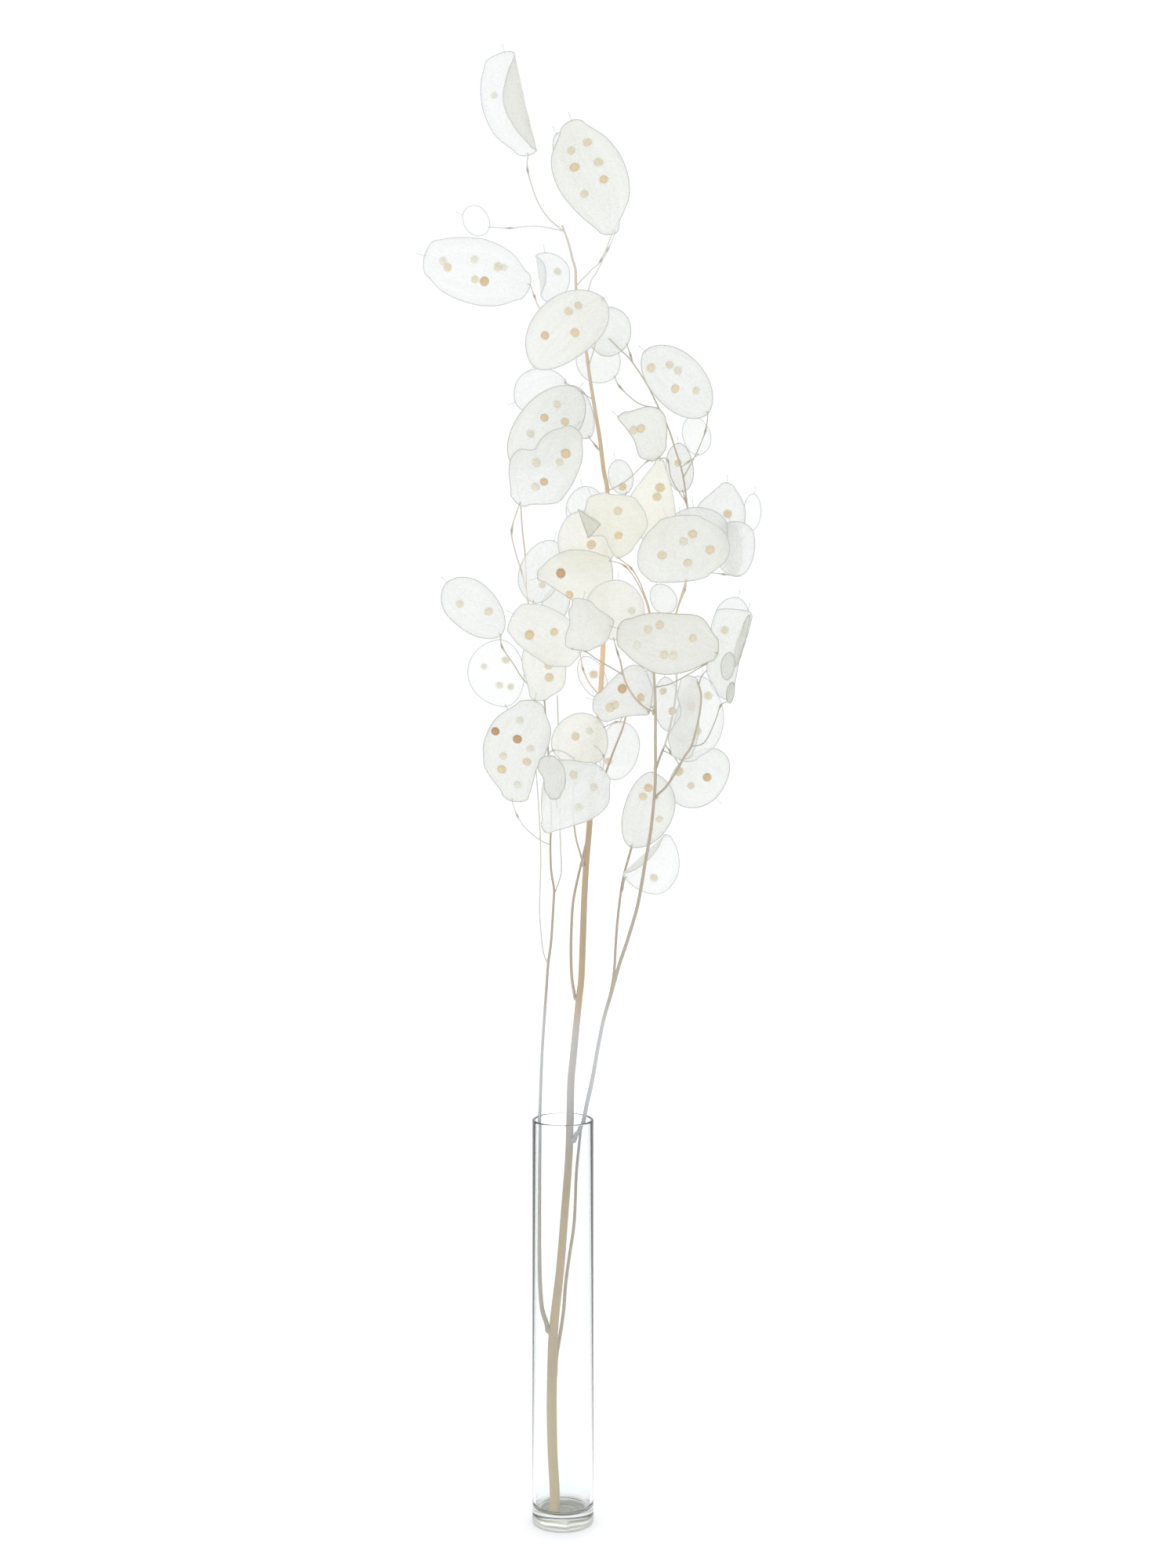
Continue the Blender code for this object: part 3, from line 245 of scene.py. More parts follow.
RIGHT_FRONT_SPRAY = Spray(
    parent="main_stem", root=186, radius=(1.2, 0.6), grey=0.9,
    points=(
        (7.8, 190, -0.6), (10.1, 196, -1.2), (11.6, 203.7, -2), (14.2, 215, -3.4), (16.9, 230.6, -5.2),
        (20, 246, -7), (23.9, 259.5, -8.6), (27.7, 273, -10), (31.6, 284.5, -11), (36.2, 300, -12.2),
        (38.5, 311.5, -12.8), (40.4, 323, -13.2), (43.1, 338.4, -13.8), (44.7, 353.8, -14.2),
        (45.4, 365, -14.4), (45.4, 383, -14.4), (45.4, 400, -14.2), (44.7, 415.4, -13.8), (43.7, 432, -13),
        (42.4, 446.2, -12.4), (39.3, 456, -12),
    ),
    pods=(
        Pod((27.5, 472.3), (14, 503), ((1.5, 9), (2, 18.5), (2.4, 20.3), (8.5, 20.7), (9.2, 20), (8.3, 18),
            (3.5, 8)), (-14, -20), 453, via=((33.5, 467.5), (38, 460)), roll=6, pale=0.8, warm=0.6,
            stalk=0.1, stations=(0.07, 0.25, 0.4, 0.48, 0.6, 0.75, 0.93), seeds=((27, 496, 0.35),
            (27.3, 484, 0.6))),
        Pod((23.7, 471), (-12.5, 462.5), ((11, 3.2), (15, 7.2), (17, 9.8), (9, 8.2), (1.9, 4.6)), (-10, -5),
            449, via=((30.5, 468.5), (36.5, 460.5)), roll=-4, pale=(0.75, 0.55), warm=0.4, stalk=0.1,
            seeds=((-0.7, 465, 0.9), (3.5, 454.5, 0.6))),
        Pod((76, 425.5), (27, 438), ((5, 8), (12, 15.3), (16.6, 14), (14, 11), (9, 5.6)), (-31, -38), 409,
            via=((70, 420.5), (61.6, 415.4), (53, 410.8)), roll=5, pale=0.05, wave=0.9, stalk=0,
            seeds=((41.3, 437.7, 0.2), (47, 440, 0.35), (36, 430, 0), (63.3, 433.5, 0.3), (49.3, 425.5, 0.3),
            (53.8, 425, 0.15))),
        Pod((44, 399), (41.8, 418), (3, 3), (6, 9), 396, roll=66, pale=0.3),
    ),
    scraps=(
        Pod((18.3, 489.3), (12.5, 482.4), ((0.3, 5.7), (0.3, 12.8), (0.3, 11.6), (0.3, 7.7), (0.3, 3.9),
            (0.3, 1.1)), (-21.5, -21.5), pale=0.2, warm=-0.3, wave=0.2,
            stations=(0.07, 0.16, 0.25, 0.5, 0.75, 0.93)),
    ),
)

RIGHT_LOW_SPRAY = Spray(
    parent="right_front_spray", root=355, radius=(0.65, 0.45), grey=0.9,
    points=(
        (50.8, 360.4, -15), (55.4, 367.3, -15.6), (59.7, 375, -16), (63, 380, -16.2), (65.5, 388.5, -16.2),
        (67.4, 398, -16), (67.8, 405.8, -15), (66, 412, -13),
    ),
    pods=(
        Pod((81.3, 402.5), (91, 446.5), ((6.5, 1.5), (13.2, 1.4), (13.8, 1.2), (10.5, 1.2), (14.2, 2),
            (16.2, 2.5), (15.4, 2.5)), (-15, -7), 380, via=((77.4, 400), (74.7, 392.3), (69.5, 382)), roll=6,
            pale=(0.6, 0.9), warm=0.1, wave=1.9, stalk=0.1,
            stations=(0.07, 0.25, 0.4, 0.5, 0.65, 0.75, 0.93), seeds=((79.5, 437, 0.2),)),
        Pod((80, 430), (86, 453), (9, 8), (9, 14), 410, via=((74, 421), (68.5, 415)), roll=-12, pale=0.9),
    ),
    scraps=(
        Pod((84.6, 419), (91.6, 444.5), (1.8, 1.8), (-13.5, -9.5), roll=28, pale=0.3, warm=-0.12, wave=1.5),
        Pod((80.2, 412.6), (82.2, 426.2), (3.6, 3), (-16.5, -14.5), roll=-10, pale=0.35, warm=-0.04,
            wave=1.5),
        Pod((81.8, 401.2), (83.4, 411.5), (2.2, 1.6), (-17, -15.5), roll=12, pale=0.2, warm=-0.25),
    ),
)

RIGHT_MID_SPRAY = Spray(
    parent="right_front_spray", root=396, radius=(0.6, 0.45), grey=0.8,
    points=(
        (41.2, 398.4, -15.6), (36.2, 402.7, -17.6), (31.6, 409.6, -18.8), (29.4, 416, -19.2), (28, 423, -19),
    ),
    pods=(
        Pod((4.8, 427.6), (10, 452.4), ((4, 9), (4.9, 15), (4.2, 16.6), (6, 16.4), (4.8, 9), (5.4, 5.4)),
            (-33, -35), 415, via=((10.4, 427), (16.2, 423.1), (23.9, 418.5)), roll=-5, pale=(0.7, 0.5),
            warm=0.15, wave=2.6, stalk=0, stations=(0.07, 0.25, 0.5, 0.72, 0.85, 0.94)),
        Pod((25, 432.3), (27, 461.7), (14.5, 14), (-21, -26), 421, belly=(0.55, 0.5), roll=6, pale=1,
            warm=0.4, seeds=((34, 447, 0), (23.5, 441.5, 0))),
        Pod((42.5, 396.5), (15, 403), ((1.6, 13), (2.8, 20), (5.7, 20.5), (9.3, 12.5), (6, 3.6)), (-6, -10),
            398.6, roll=3, pale=0.55, stalk=0, seeds=((28.8, 408.5, 0.8), (22.8, 399.3, 0.35),
            (25.2, 400.6, 0.3), (38, 404, 0.5))),
    ),
)

RIGHT_BACK_SPRAY = Spray(
    parent="main_stem", root=69, radius=(1.05, 0.36), taper=0.6, grey=0.7, hidden=(378, 420),
    points=(
        (-3.2, 80, -1.6), (-1.2, 92, 0.4), (0.4, 103, 1.8), (1.4, 116, 3), (3.5, 130.5, 4.4),
        (5.8, 145.9, 5.2), (6.9, 169, 5.4), (8.5, 184.4, 5.4), (10, 196, 5.6), (11.6, 205, 6.2),
        (14.2, 217, 7.4), (16.9, 230.6, 8.8), (20, 246, 10.4), (23.5, 259.5, 11.8), (25.2, 270, 12.6),
        (25.8, 281, 13.2), (26.6, 292.2, 14), (27.7, 302.6, 14.8), (29.6, 315.3, 15.8), (33, 328, 16.8),
        (38, 345, 17.8), (43, 360, 18.4), (47, 373, 18.6), (50.8, 383, 18.6), (54, 396, 18.6),
        (55.8, 410, 18.6), (55.2, 425, 18.6), (54.5, 438, 18.6), (55.8, 446, 18.8), (58.2, 454, 19.2),
        (60.8, 463, 20), (62.3, 475, 20.6), (62, 487, 20), (61.2, 497, 18), (58.9, 513.2, 14),
        (55.4, 525.1, 11), (51.6, 536.7, 8.6), (47, 546.3, 6.8), (41.2, 557.9, 4.6), (33.5, 569.4, 2.4),
        (27.7, 575.2, 1), (22.5, 580.5, 0),
    ),
    pods=(
        Pod((30.5, 315), (52.8, 335.7), (8, 18), (12, 4), 306, belly=(0.5, 0.4), roll=5, fold=-1.6, pale=0.9,
            flap=0.4, seeds=((45.3, 316, 0.3),)),
        Pod((33.5, 330.5), (44, 367.3), (8.8, 15.6), (8, 2), 322, belly=(0.5, 0.56), roll=-5, pale=0.35,
            seeds=((42, 360, 0.6), (39.3, 356, 0.4), (47.3, 344.5, 0.2))),
        Pod((57, 371.5), (75, 354.5), (19, 15), (13, 8), 381, belly=(0.5, 0.45), roll=6, pale=0.6,
            seeds=((57, 367.5, 0.45), (70.8, 364.5, 0.75), (63, 360.3, 0.3))),
        Pod((58.5, 372.8), (68, 414.5), ((4, 7), (7.5, 14), (8, 15.8), (7, 12.5), (4.5, 5.5)), (4, 2), 378,
            via=((53.5, 376),), roll=-5, pale=0.9, stalk=0, seeds=((62.5, 400, 0.4), (71.3, 405, 0.2),
            (57.5, 384.5, 0.05), (65.7, 387.5, 0.3))),
        Pod((52, 387.5), (50, 414), (6, 6.5), (27, 32), 383, roll=24, pale=0.65, seeds=((49.7, 407, 0.35),
            (54.3, 397, 0.45))),
        Pod((60.5, 461), (57.5, 493.5), ((17.6, 11.5), (22.3, 20.3), (22.2, 22.8), (17.8, 19), (10.8, 10.6)),
            (-3, -8), 447, via=((60, 457),), roll=-4, pale=(0.6, 0.7), warm=0.15, wave=0.8,
            seeds=((63.5, 484.5, 0.45), (59, 481, 0.15), (48.5, 474.3, 0.35), (61, 470.5, 0.35),
            (72, 476.7, 0.45))),
        Pod((66, 470), (64, 497.4), (14, 16), (8, 8.5), 466, belly=(0.6, 0.6), roll=3, pale=0.7),
        Pod((78, 483), (80.5, 509.5), ((8, 5), (12.5, 9.5), (12.8, 10.2), (7.4, 7.6), (3, 3.8)), (19, 26),
            474, via=((71, 478),), roll=-14, pale=0.7, seeds=((80.3, 493.6, 0.5),)),
        Pod((86.5, 463.5), (82, 490.3), (10, 10.6), (5, 9), 466, via=((79, 464.5), (70, 465.5)),
            belly=(0.5, 0.68), roll=10, pale=0.75, wave=1.6, stalk=0.8),
        Pod((92, 486), (94, 504), (4.5, 4), (33, 38), 478, via=((84, 479), (72, 476)), roll=-30, pale=1.25,
            stalk=0.9),
        Pod((50, 478), (43, 498), (6.5, 7), (26, 29), 470, roll=12, pale=0.55, seeds=((43, 485.5, 0.3),)),
        Pod((52, 445), (46, 459.5), (6, 6.5), (26, 29), 436, roll=-20, pale=0.85),
        Pod((59, 505), (56.5, 529), (7, 6.4), (21, 24), 497, belly=(0.5, 0.42), roll=16, pale=0.45,
            seeds=((57, 519, 0.3),)),
        Pod((66, 523), (64, 542), (6.5, 7.5), (22, 28), 517, roll=-22, pale=1.1, wave=1.6, stalk=0.8),
        Pod((71.2, 543.4), (40, 574), (12.3, 14), (-3, -13), 512, via=((70, 535), (66.5, 526), (63, 519)),
            belly=(0.48, 0.52), roll=-10, pale=0.45, seeds=((42.8, 566, 0.35), (51.8, 567.3, 0.3),
            (55.8, 564.5, 0.15), (54.2, 555.8, 0.45), (64.8, 554.7, 0.25))),
        Pod((48, 521.5), (45, 479), ((2, 2.8), (5, 8), (8, 14), (9, 13), (5.5, 6.5)), (2, 3), 499,
            via=((51.5, 520.5), (53.5, 511)), roll=4, pale=(0.9, 1), warm=0.75, seeds=((47.5, 507, 0.55),
            (46, 502.5, 0.4))),
        Pod((25.5, 561.3), (10, 579), (11.5, 10), (15, 19), 546, via=((28, 556.5), (37, 548.5)), roll=8,
            pale=0.85),
        Pod((31.5, 577), (12, 590), (11, 12.3), (2, 4), 568, belly=(0.4, 0.5), roll=4, pale=0.6),
    ),
    scraps=(
        Pod((57.2, 373.6), (62.2, 414.8), ((4.4, 6), (6.8, 7.4), (4.8, 7.4), (2.7, 7), (2.6, 7), (4.8, 6.7),
            (4.2, 4.5)), (1, -1), roll=-7, pale=0.7, warm=0.1, wave=1.4,
            stations=(0.07, 0.25, 0.4, 0.5, 0.6, 0.75, 0.93)),
        Pod((84, 464.5), (82, 489.5), (5, 5), (8, 10.5), roll=6, pale=0.55, wave=1.8),
    ),
)

SPRAYS = {
    "main_stem": MAIN_STEM,
    "left_spray": LEFT_SPRAY,
    "middle_spray": MIDDLE_SPRAY,
    "inner_spray": INNER_SPRAY,
    "right_front_spray": RIGHT_FRONT_SPRAY,
    "right_low_spray": RIGHT_LOW_SPRAY,
    "right_mid_spray": RIGHT_MID_SPRAY,
    "right_back_spray": RIGHT_BACK_SPRAY,
}


def length(name, description, default):
    return FloatProperty(name=name, description=description, default=default, unit="LENGTH")


def tone(name, description, default, most=1.0):
    return FloatVectorProperty(
        name=name, description=description, default=default, subtype="COLOR", min=0.0, max=most)


class HonestyVaseSettings(bpy.types.PropertyGroup):
    height: length("Height", "Height of the vase", 0.197)
    radius: length("Radius", "Outer radius of the vase", 0.0151)
    wall: length("Wall", "Thickness of the glass wall", 0.0015)
    floor: length("Floor", "Thickness of the glass floor", 0.007)
    foot_round: length("Foot round", "Radius of the outer foot edge", 0.0014)
    inner_round: length("Inner round", "Radius of the inner floor corner", 0.0035)
    rim_round: length("Rim round", "Radius of the fire-polished rim", 0.0006)
    sides: IntProperty(name="Sides", description="Steps around the vase", default=96)
    tint: tone("Tint", "Colour that the glass gives light", (0.955, 0.972, 0.968))
    # Foot: painted shade, a dark olive tint that darkens the thick foot in rings.
    foot: tone("Foot", "Colour that the thick foot gives light", (0.3, 0.3, 0.22))


class HonestyStemSettings(bpy.types.PropertyGroup):
    knob_radius: length("Knob radius", "Radius of the joint on a pod's stalk", 0.0006)
    stalk_radius: length("Stalk radius", "Radius of a pod's stalk", 0.00026)
    twig_radius: length("Twig radius", "Radius of a thin side twig", 0.00034)
    axil_gap: length("Axil gap", "How far a spray starts off its parent", 0.00032)
    tan: tone("Tan", "Bark of the main stem", (0.66, 0.49, 0.29))
    olive: tone("Olive", "Bark of the side sprays", (0.44, 0.4, 0.27))
    worn: tone("Worn", "Weathered grey bark", (0.56, 0.57, 0.58))
    sunlit: tone("Sunlit", "Bark that the light catches among the pods", (0.92, 0.66, 0.4))
    foot: tone("Foot", "The pale cut end in the vase", (1.0, 0.8, 0.48))
    faded: tone("Faded", "Stalks that are lost in the light", (0.8, 0.8, 0.77))
    dark: tone("Dark", "Knobs on the pods' stalks", (0.3, 0.25, 0.17))


class HonestyPodSettings(bpy.types.PropertyGroup):
    rim_radius: length("Rim radius", "Radius of the wiry rim", 0.00019)
    style_length: length("Style length", "Length of the style at the tip", 0.004)
    style_radius: length("Style radius", "Radius of the style", 0.00013)
    seed_radius: length("Seed radius", "Radius of a seed's disc", 0.0024)
    seed_rise: length("Seed rise", "Half the thickness of a seed", 0.00055)
    stations: IntProperty(name="Stations", description="Rows of faces along a pod", default=34)
    columns: IntProperty(name="Columns", description="Columns of faces across a pod", default=16)
    membrane: tone("Membrane", "A dense papery membrane", (0.83, 0.825, 0.73))
    # Faded membrane: a clear membrane's tone, and painted light too, pale and bluish where a pod is lost in
    # the light.
    faded: tone("Faded membrane", "A clear, bluish membrane", (0.95, 0.98, 1.0))
    glow: tone("Glow", "The light that spreads through", (0.97, 0.975, 0.95))
    warm_glow: tone("Warm glow", "The light that gathers in a pod", (1.0, 0.99, 0.89))
    passing: tone("Passing", "The light that goes straight through", (1.0, 0.985, 0.93))
    # Warm: painted light, the yellow where light gathers among the pods.
    warm: tone("Warm", "A membrane that gathers light", (1.0, 0.95, 0.72))
    # Folded: painted shade, the dark tone of a membrane folded on itself against the light behind.
    folded: tone("Folded", "A membrane folded on itself", (0.45, 0.42, 0.3))
    rim: tone("Rim", "The wiry rim around a pod", (0.44, 0.43, 0.33))
    # Faded rim: painted light, the pale bluish grey of a rim whose pod is lost in the light.
    rim_faded: tone("Faded rim", "The rim of a clear pod", (0.68, 0.72, 0.75))
    seed_pale: tone("Pale seed", "A seed that hardly shows", (0.86, 0.85, 0.74))
    seed_tan: tone("Tan seed", "A ripe pale seed", (0.86, 0.68, 0.4))
    seed_red: tone("Red seed", "A dark red-brown seed", (0.57, 0.33, 0.15))


class HonestyStageSettings(bpy.types.PropertyGroup):
    lens: FloatProperty(name="Lens", description="Focal length in millimetres", default=50.0)
    shift: FloatProperty(name="Shift", description="Vertical lens shift", default=-0.085)
    floor_colour: tone("Floor", "The plain pale floor", (0.93, 0.93, 0.93))
    shade: tone("Shade", "The floor right under the vase", (0.42, 0.41, 0.32))
    floor_glow: FloatProperty(name="Floor glow", description="Light that the floor gives itself", default=0.3)
    sky_colour: tone("Sky colour", "Colour of the surround", (0.985, 1.0, 1.02), most=1.2)
    sky: FloatProperty(name="Sky strength", description="Brightness of the wall behind", default=1.04)
    front_sky: FloatProperty(name="Front strength", description="Brightness in front", default=0.82)
    key: FloatProperty(name="Key power", description="Watts of the soft lights", default=1.5)


def math_operator(operation, swapped=False):
    """A Python operator that adds a Math node, whose values are swapped for the reflected ones."""

    def apply(self, other):
        return self.math(operation, other, self) if swapped else self.math(operation, self, other)

    return apply


class Value:
    """A shader socket that can be written in an expression."""

    def __init__(self, graph, socket):
        self.graph = graph
        self.socket = socket

    def math(self, operation, *values, clamp=False):
        return self.graph.node("ShaderNodeMath", {"operation": operation, "use_clamp": clamp}, *values)

    __add__ = math_operator("ADD")
    __radd__ = math_operator("ADD", swapped=True)
    __sub__ = math_operator("SUBTRACT")
    __rsub__ = math_operator("SUBTRACT", swapped=True)
    __mul__ = math_operator("MULTIPLY")
    __rmul__ = math_operator("MULTIPLY", swapped=True)
    __truediv__ = math_operator("DIVIDE")
    __rtruediv__ = math_operator("DIVIDE", swapped=True)

    def clamped(self):
        return self.math("ADD", self, 0.0, clamp=True)

    def sine(self):
        return self.math("SINE", self)

    def step(self, low, high):
        """0 below low and 1 above high, with a smooth rise between."""
        settings = {"interpolation_type": "SMOOTHSTEP"}
        return self.graph.node("ShaderNodeMapRange", settings, self, low, high, 0.0, 1.0)

    def band(self, low, full, fall, high):
        """1 from full to fall, and 0 below low and above high."""
        return self.step(low, full) * (1.0 - self.step(fall, high))


class Graph:
    """The node tree of a material or of the surround, filled by calls."""

    def __init__(self, owner):
        owner.use_nodes = True
        self.tree = owner.node_tree

    def named(self, name):
        return self.tree.nodes[name]

    def node(self, kind, settings, *inputs, output=0):
        """A node of this kind: its settings first, then its inputs in order, or by name in a dictionary."""
        made = self.tree.nodes.new(kind)
        for name, value in settings.items():
            setattr(made, name, value)
        by_name = inputs and isinstance(inputs[0], dict)
        for key, value in inputs[0].items() if by_name else enumerate(inputs):
            self.feed(made.inputs[key], value)
        return Value(self, made.outputs[output])

    def feed(self, socket, value):
        if isinstance(value, Value):
            self.tree.links.new(value.socket, socket)
        else:
            socket.default_value = value

    def mix(self, share, first, second):
        """Colour between first and second."""
        settings = {"data_type": "RGBA"}
        inputs = {0: share, 6: colour(first), 7: colour(second)}
        return self.node("ShaderNodeMix", settings, inputs, output=2)

    def attribute(self, name):
        return self.node("ShaderNodeAttribute", {"attribute_name": name}, output="Fac")

    def uv(self):
        return self.node("ShaderNodeUVMap", {"uv_map": "UVMap"})

    def shader(self, kind, tint):
        """A shader node of one colour."""
        made = self.tree.nodes.new(kind)
        made.inputs["Color"].default_value = colour(tint)
        return made

    def blend(self, share, first, second):
        """A Mix Shader of two shader nodes."""
        mixed = self.tree.nodes.new("ShaderNodeMixShader")
        self.feed(mixed.inputs[0], share)
        self.tree.links.new(first.outputs[0], mixed.inputs[1])
        self.tree.links.new(second.outputs[0], mixed.inputs[2])
        return mixed

    def finish(self, shader):
        self.tree.links.new(shader.outputs[0], self.named("Material Output").inputs["Surface"])

    def stretched(self, where, scale):
        return self.node("ShaderNodeVectorMath", {"operation": "MULTIPLY"}, where, scale)

    def place(self, *scale):
        """The object's own coordinates in millimetres, each axis times its scale."""
        where = self.node("ShaderNodeTexCoord", {}, output="Object")
        return self.stretched(where, tuple(share / MM for share in scale or (1.0, 1.0, 1.0)))

    def noise(self, where, scale, detail=2.0, roughness=0.5):
        inputs = {"Vector": where, "Scale": scale, "Detail": detail, "Roughness": roughness}
        return self.node("ShaderNodeTexNoise", {}, inputs)

    def bump(self, height, distance, strength=1.0):
        inputs = {"Height": height, "Distance": distance, "Strength": strength}
        return self.node("ShaderNodeBump", {}, inputs)

    def principled(self, **inputs):
        """Feeds the surface shader, each input named with _ for its spaces."""
        for name, value in inputs.items():
            self.feed(self.named("Principled BSDF").inputs[name.replace("_", " ")], value)


def colour(value):
    return value if isinstance(value, Value) else (*value[:3], 1.0)


def dimmed(tint, share):
    return [part * share for part in tint]


def new_material(name):
    material = bpy.data.materials.new(name)
    return material, Graph(material)


def membrane_material(settings):
    """A thin papery sheet that glows with the light behind it: cloudy, finely veined, clear where thin, and
    painted pale and bluish where its pod fades into the light.
    """
    material, graph = new_material("papery_membrane")
    where = graph.place()
    cloud = graph.noise(where, 0.1, 3.0, 0.6) - 0.5
    fine = graph.noise(where, 1.1, 4.0, 0.7) - 0.5
    veins = graph.noise(graph.stretched(graph.uv(), (9.0, 2.5, 1.0)), 1.0, 3.0, 0.6) - 0.5
    pale = graph.attribute("pale")
    warm = graph.attribute("warm")
    shade = dimmed(settings.membrane, 0.7)
    # Partly painted light: the membrane turns pale and bluish where its pod fades into the light, and clear
    # where thin.
    thin = (pale + cloud * 0.8 + veins * 0.3).clamped()
    base = graph.mix(thin, settings.membrane, settings.faded)
    # Painted light: yellow where light gathers in a pod.
    base = graph.mix((warm + cloud * warm).clamped(), base, settings.warm)
    base = graph.mix((fine * 1.5 + veins * 1.1 + 0.15).clamped(), base, shade)
    # Painted shade: a warm below 0 darkens the pod towards the folded tone.
    base = graph.mix((0.0 - warm).clamped(), base, settings.folded)
    base = graph.mix(graph.attribute("edge") * 0.3, base, shade)
    veil = 0.97 - (pale + cloud * 0.4 - warm).step(0.5, 1.0) * 0.3 - pale.step(1.0, 1.3) * 0.52
    veil = veil.clamped()
    crease = graph.bump(fine * 0.6 + veins + cloud * 2.0, 0.9 * MM, 0.7)
    graph.principled(Base_Color=base, Roughness=0.5 + fine * 0.3, Alpha=veil, Normal=crease,
                     Specular_IOR_Level=0.3)
    glows = [graph.shader("ShaderNodeBsdfTranslucent", tint) for tint in (settings.glow, settings.warm_glow)]
    for glow in glows:
        graph.feed(glow.inputs["Normal"], crease)
    clear = graph.shader("ShaderNodeBsdfTransparent", settings.passing)
    veiled = graph.blend(veil, clear, graph.blend(warm.clamped(), *glows))
    graph.finish(graph.blend(0.5 + warm.clamped() * 0.35, graph.named("Principled BSDF"), veiled))
    return material


def rim_material(settings):
    """The wiry rim and the style: an olive tan that fades with the pod, painted a pale bluish grey as the pod
    fades into the light.
    """
    material, graph = new_material("pod_rim")
    speck = graph.noise(graph.place(), 0.9, 2.0)
    base = graph.mix((speck * 0.6).clamped(), settings.rim, dimmed(settings.rim, 1.4))
    base = graph.mix((graph.attribute("pale") * 0.85).clamped(), base, settings.rim_faded)
    graph.principled(Base_Color=base, Roughness=0.55 + speck * 0.15, Normal=graph.bump(speck, 0.2 * MM, 0.3))
    return material


def seed_material(settings):
    """A flat seed: a darker ring around a lighter, warm middle, from pale tan to dark red-brown."""
    material, graph = new_material("honesty_seed")
    ring = graph.attribute("edge")
    tone = graph.attribute("pale")
    speck = graph.noise(graph.place(), 0.9, 3.0, 0.6) - 0.5
    ripe = (tone / 0.6).clamped()
    dark = ((tone - 0.6) / 0.4).clamped()
    base = graph.mix(dark, graph.mix(ripe, settings.seed_pale, settings.seed_tan), settings.seed_red)
    shade = graph.mix(dark, dimmed(settings.seed_tan, 0.78), dimmed(settings.seed_red, 0.7))
    amount = (ring.step(0.3, 0.9) * 0.25 + speck * 0.9) * (0.3 + tone * 0.7)
    base = graph.mix(amount.clamped(), base, shade)
    soft = 0.7 + tone * 0.3 - ring.step(0.4, 1.0) * (0.68 - tone * 0.25)
    graph.principled(Base_Color=base, Roughness=0.55 + speck * 0.2, Alpha=soft.clamped(),
                     Normal=graph.bump(speck, 0.3 * MM, 0.4))
    return material


def bark_material(settings):
    """Dry bark: fine lengthwise fibres, and a tone for each stretch of height in millimetres. It is pale at
    the foot, worn grey at the vase's rim, painted shaded below the pods, painted sunlit among them and
    painted pale at the top, where it is lost in the light."""
    material, graph = new_material("dry_bark")
    where = graph.place()
    height = graph.node("ShaderNodeSeparateXYZ", {}, where, output="Z")
    fibre = graph.noise(graph.place(1.0, 1.0, 0.07), 2.0, 4.0, 0.6) - 0.5
    patch = graph.noise(where, 0.03, 3.0, 0.65) - 0.5
    olive = graph.attribute("olive")
    foot = 1.0 - height.step(40.0, 90.0) * 0.4 - height.step(120.0, 196.0) * 0.6
    worn = height.band(158.0, 205.0, 236.0, 262.0) + patch * 0.7
    worn = worn * (0.85 + olive * 0.3) + olive * 0.45 * (1.0 - height.step(270.0, 330.0))
    shaded = height.band(238.0, 262.0, 350.0, 400.0)
    sunlit = height.step(380.0, 410.0) * (1.0 - olive) + height.step(430.0, 448.0) * 0.6
    sunlit = sunlit * (1.0 - height.step(455.0, 520.0)) * 0.8
    base = settings.tan
    for share, tint in (
        (olive + patch * 0.7, settings.olive),
        (foot, settings.foot),
        (worn, settings.worn),
        (fibre * 1.3 + 0.1, dimmed(settings.worn, 1.25)),
        (shaded * 0.45 + patch * 0.5, dimmed(settings.tan, 0.62)),
        # Painted light: the top of the stems pales where it is lost in the light.
        (height.step(520.0, 640.0) * 0.6, settings.faded),
        (sunlit, settings.sunlit),
        # Painted light: stalks, twigs and stretches of spray that the pale attribute pales into the light.
        (graph.attribute("pale") * 0.85, settings.faded),
        (graph.attribute("edge") * 0.8, settings.dark),
    ):
        base = graph.mix(share.clamped(), base, tint)
    graph.principled(Base_Color=base, Roughness=0.62 + fibre * 0.3, Normal=graph.bump(fibre, 0.5 * MM, 0.7))
    return material


def glass_material(settings):
    """Clear soda glass with a faint tint, a trace of dust that dulls it, and dark rings of painted shade in
    its thick foot.
    """
    material, graph = new_material("clear_glass")
    smear = graph.noise(graph.place(1.0, 1.0, 0.4), 0.05, 3.0, 0.6)
    height = graph.node("ShaderNodeSeparateXYZ", {}, graph.place(), output="Z")
    waver = graph.noise(graph.place(1.0, 1.0, 0.2), 0.12, 2.0)
    # Painted shade: dark rings tint the light through the glass below 8 mm.
    painted_shade_rings = (height * 2.6 + waver * 5.0).sine() * 0.42 + 0.58
    foot = ((1.0 - height.step(5.0, 8.0)) * painted_shade_rings).clamped()
    graph.principled(Base_Color=graph.mix(foot, settings.tint, settings.foot),
                     Roughness=smear.step(0.5, 0.85) * 0.03, Transmission_Weight=1.0, IOR=1.5)
    return material


